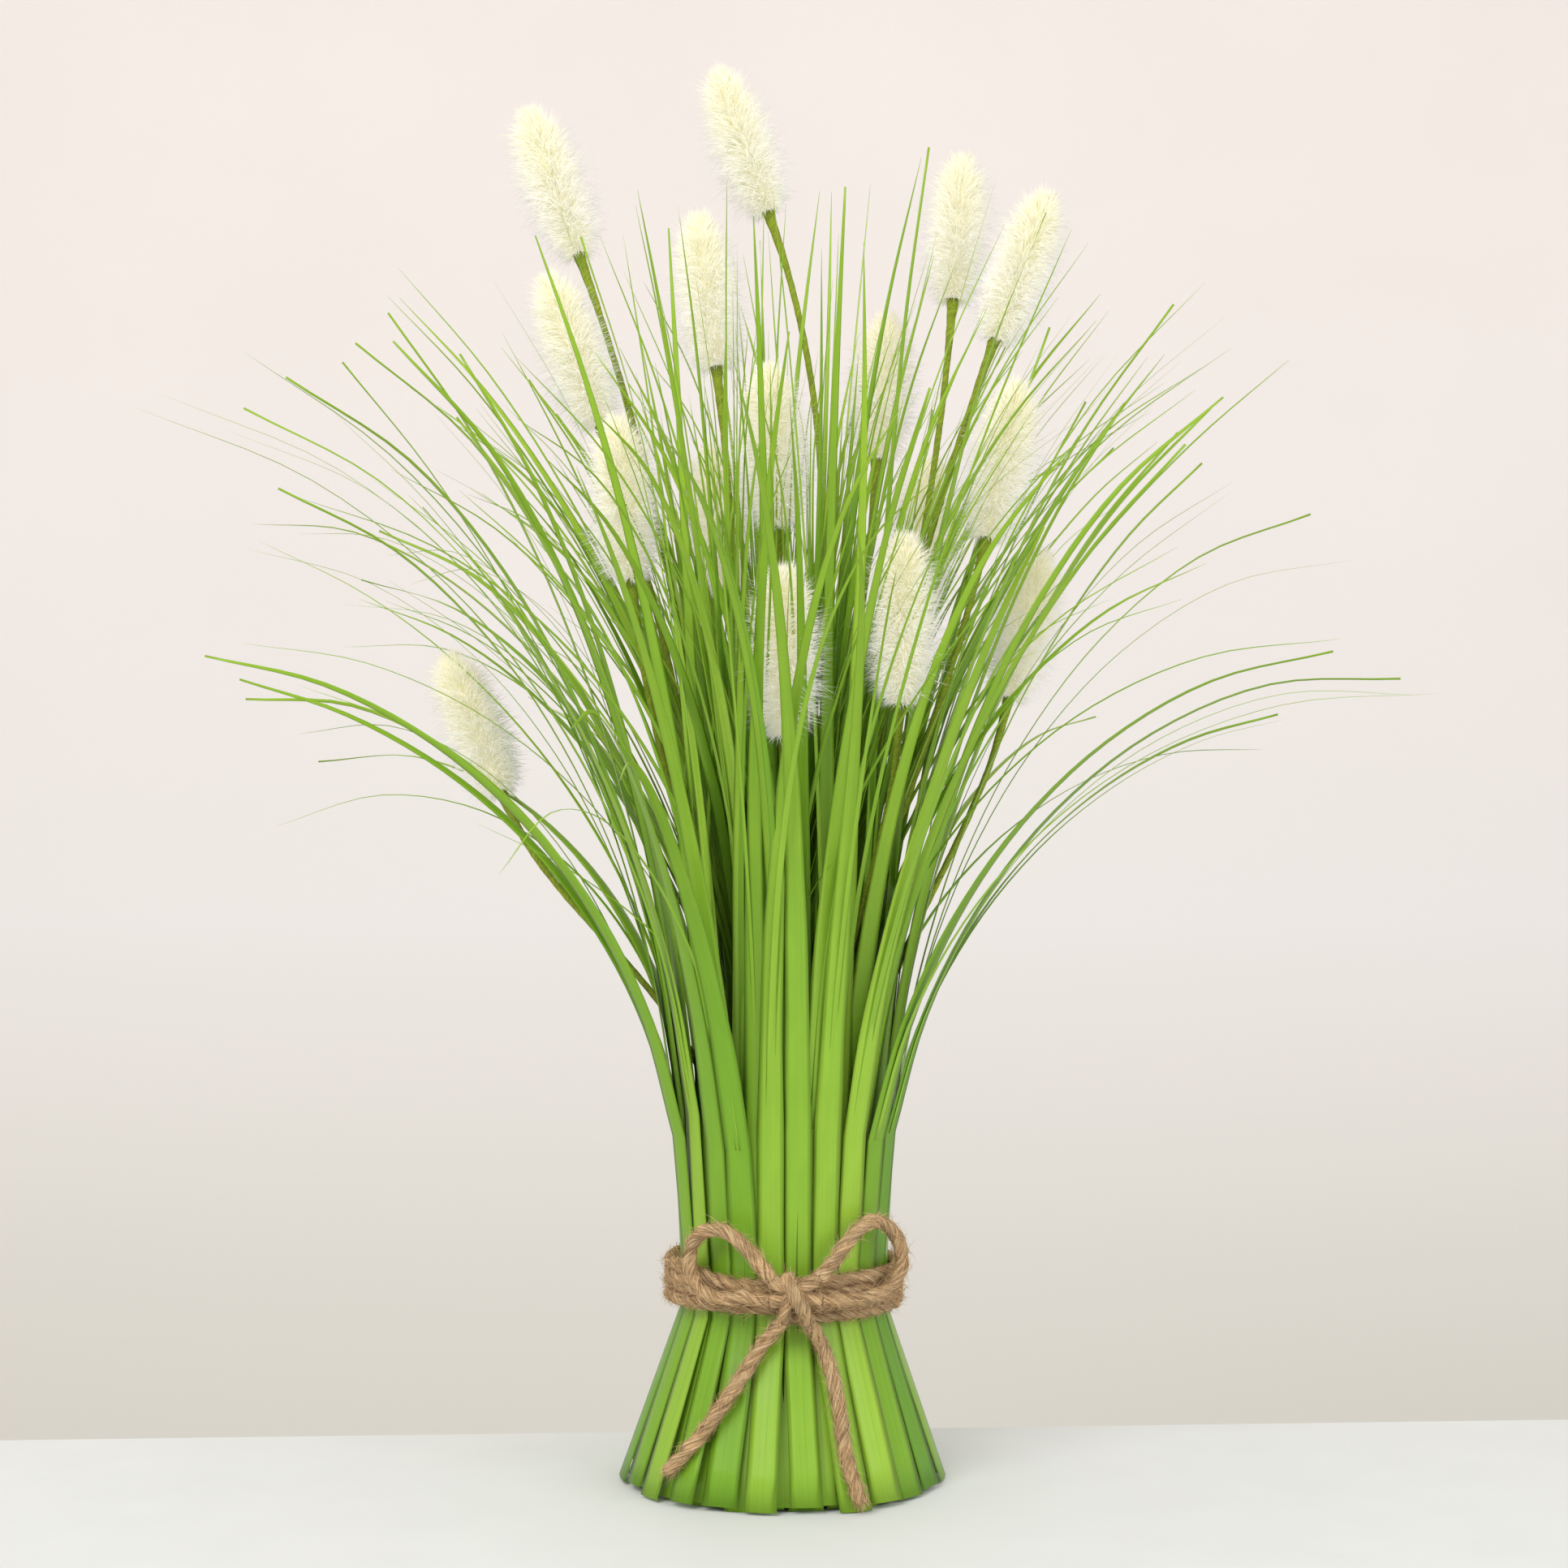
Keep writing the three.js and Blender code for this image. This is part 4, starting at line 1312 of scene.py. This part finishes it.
def add_light(name, place, size, power, colour):
    data = bpy.data.lights.new(name, "AREA")
    data.shape = "DISK"
    data.size = size
    data.energy = power
    data.color = colour
    light = bpy.data.objects.new(name, data)
    light.location = place
    light.rotation_euler = (Vector((0, 0, 0.25)) - light.location).to_track_quat("-Z", "Y").to_euler()
    bpy.context.scene.collection.objects.link(light)


def add_table(stage):
    """A table top whose back edge runs close behind the bundle."""
    mesh = bpy.data.meshes.new("table_top")
    near, wide, thick, skew = -2.6, 2.4, 0.03, 0.12
    back_left, back_right = stage.table_back - skew * wide / 2, stage.table_back + skew * wide / 2
    outline = ((-wide, near), (wide, near), (wide, back_right), (-wide, back_left))
    points = [(x, y, z) for z in (0.0, -thick) for x, y in outline]
    faces = [(0, 1, 2, 3), (7, 6, 5, 4)] + [(i, i + 4, (i + 1) % 4 + 4, (i + 1) % 4) for i in range(4)]
    mesh.from_pydata(points, [], faces)
    mesh.materials.append(plain_material("table_paint", (0.715, 0.76, 0.77), 25.0, 0.2 * MM))
    table = bpy.data.objects.new("table_top", mesh)
    bpy.context.scene.collection.objects.link(table)


def add_backdrop():
    """A pale sheet that runs on behind and below the table and curves up far behind it."""
    wide, radius, level, far, top = 4.5, 1.2, -0.25, 2.2, 3.5
    profile = [(-3.0, level), (far - radius, level)]
    for k in range(1, 13):
        a = math.pi / 2 * k / 12
        profile.append((far - radius + radius * math.sin(a), level + radius - radius * math.cos(a)))
    profile.append((far, top))
    points = [(x, y, z) for y, z in profile for x in (-wide, wide)]
    faces = [(2 * k, 2 * k + 1, 2 * k + 3, 2 * k + 2) for k in range(len(profile) - 1)]
    mesh = bpy.data.meshes.new("backdrop")
    mesh.from_pydata(points, [], faces)
    mesh.shade_smooth()
    mesh.materials.append(paper_with_painted_shade())
    backdrop = bpy.data.objects.new("backdrop", mesh)
    bpy.context.scene.collection.objects.link(backdrop)


class BUNDLE_PT_panel(bpy.types.Panel):
    """Lists the bundle's settings and steps"""

    bl_idname = "BUNDLE_PT_panel"
    bl_label = "Grass Bundle"
    bl_space_type = "VIEW_3D"
    bl_region_type = "UI"
    bl_category = "Grass Bundle"

    def draw(self, context):
        for name in SETTINGS:
            group = getattr(context.scene, name)
            box = self.layout.box()
            for prop in group.bl_rna.properties:
                if prop.identifier not in ("rna_type", "name"):
                    box.prop(group, prop.identifier)
        for operator in OPERATORS:
            self.layout.operator(operator.bl_idname)


SETTINGS = {
    "bundle_blades": BladeSettings,
    "bundle_plumes": PlumeSettings,
    "bundle_twine": TwineSettings,
    "bundle_stage": StageSettings,
}
OPERATORS = (
    BUNDLE_OT_stage,
    BUNDLE_OT_core,
    BUNDLE_OT_tufts,
    BUNDLE_OT_bushes,
    BUNDLE_OT_stems,
    BUNDLE_OT_heads,
    BUNDLE_OT_wraps,
    BUNDLE_OT_bow,
)


def register():
    for cls in (*SETTINGS.values(), *OPERATORS, BUNDLE_PT_panel):
        bpy.utils.register_class(cls)
    for name, cls in SETTINGS.items():
        setattr(bpy.types.Scene, name, PointerProperty(type=cls))


def unregister():
    for name in SETTINGS:
        delattr(bpy.types.Scene, name)
    for cls in reversed((*SETTINGS.values(), *OPERATORS, BUNDLE_PT_panel)):
        bpy.utils.unregister_class(cls)


def main():
    register()
    for operator in OPERATORS:
        group, name = operator.bl_idname.split(".")
        getattr(getattr(bpy.ops, group), name)()


if __name__ == "__main__":
    main()
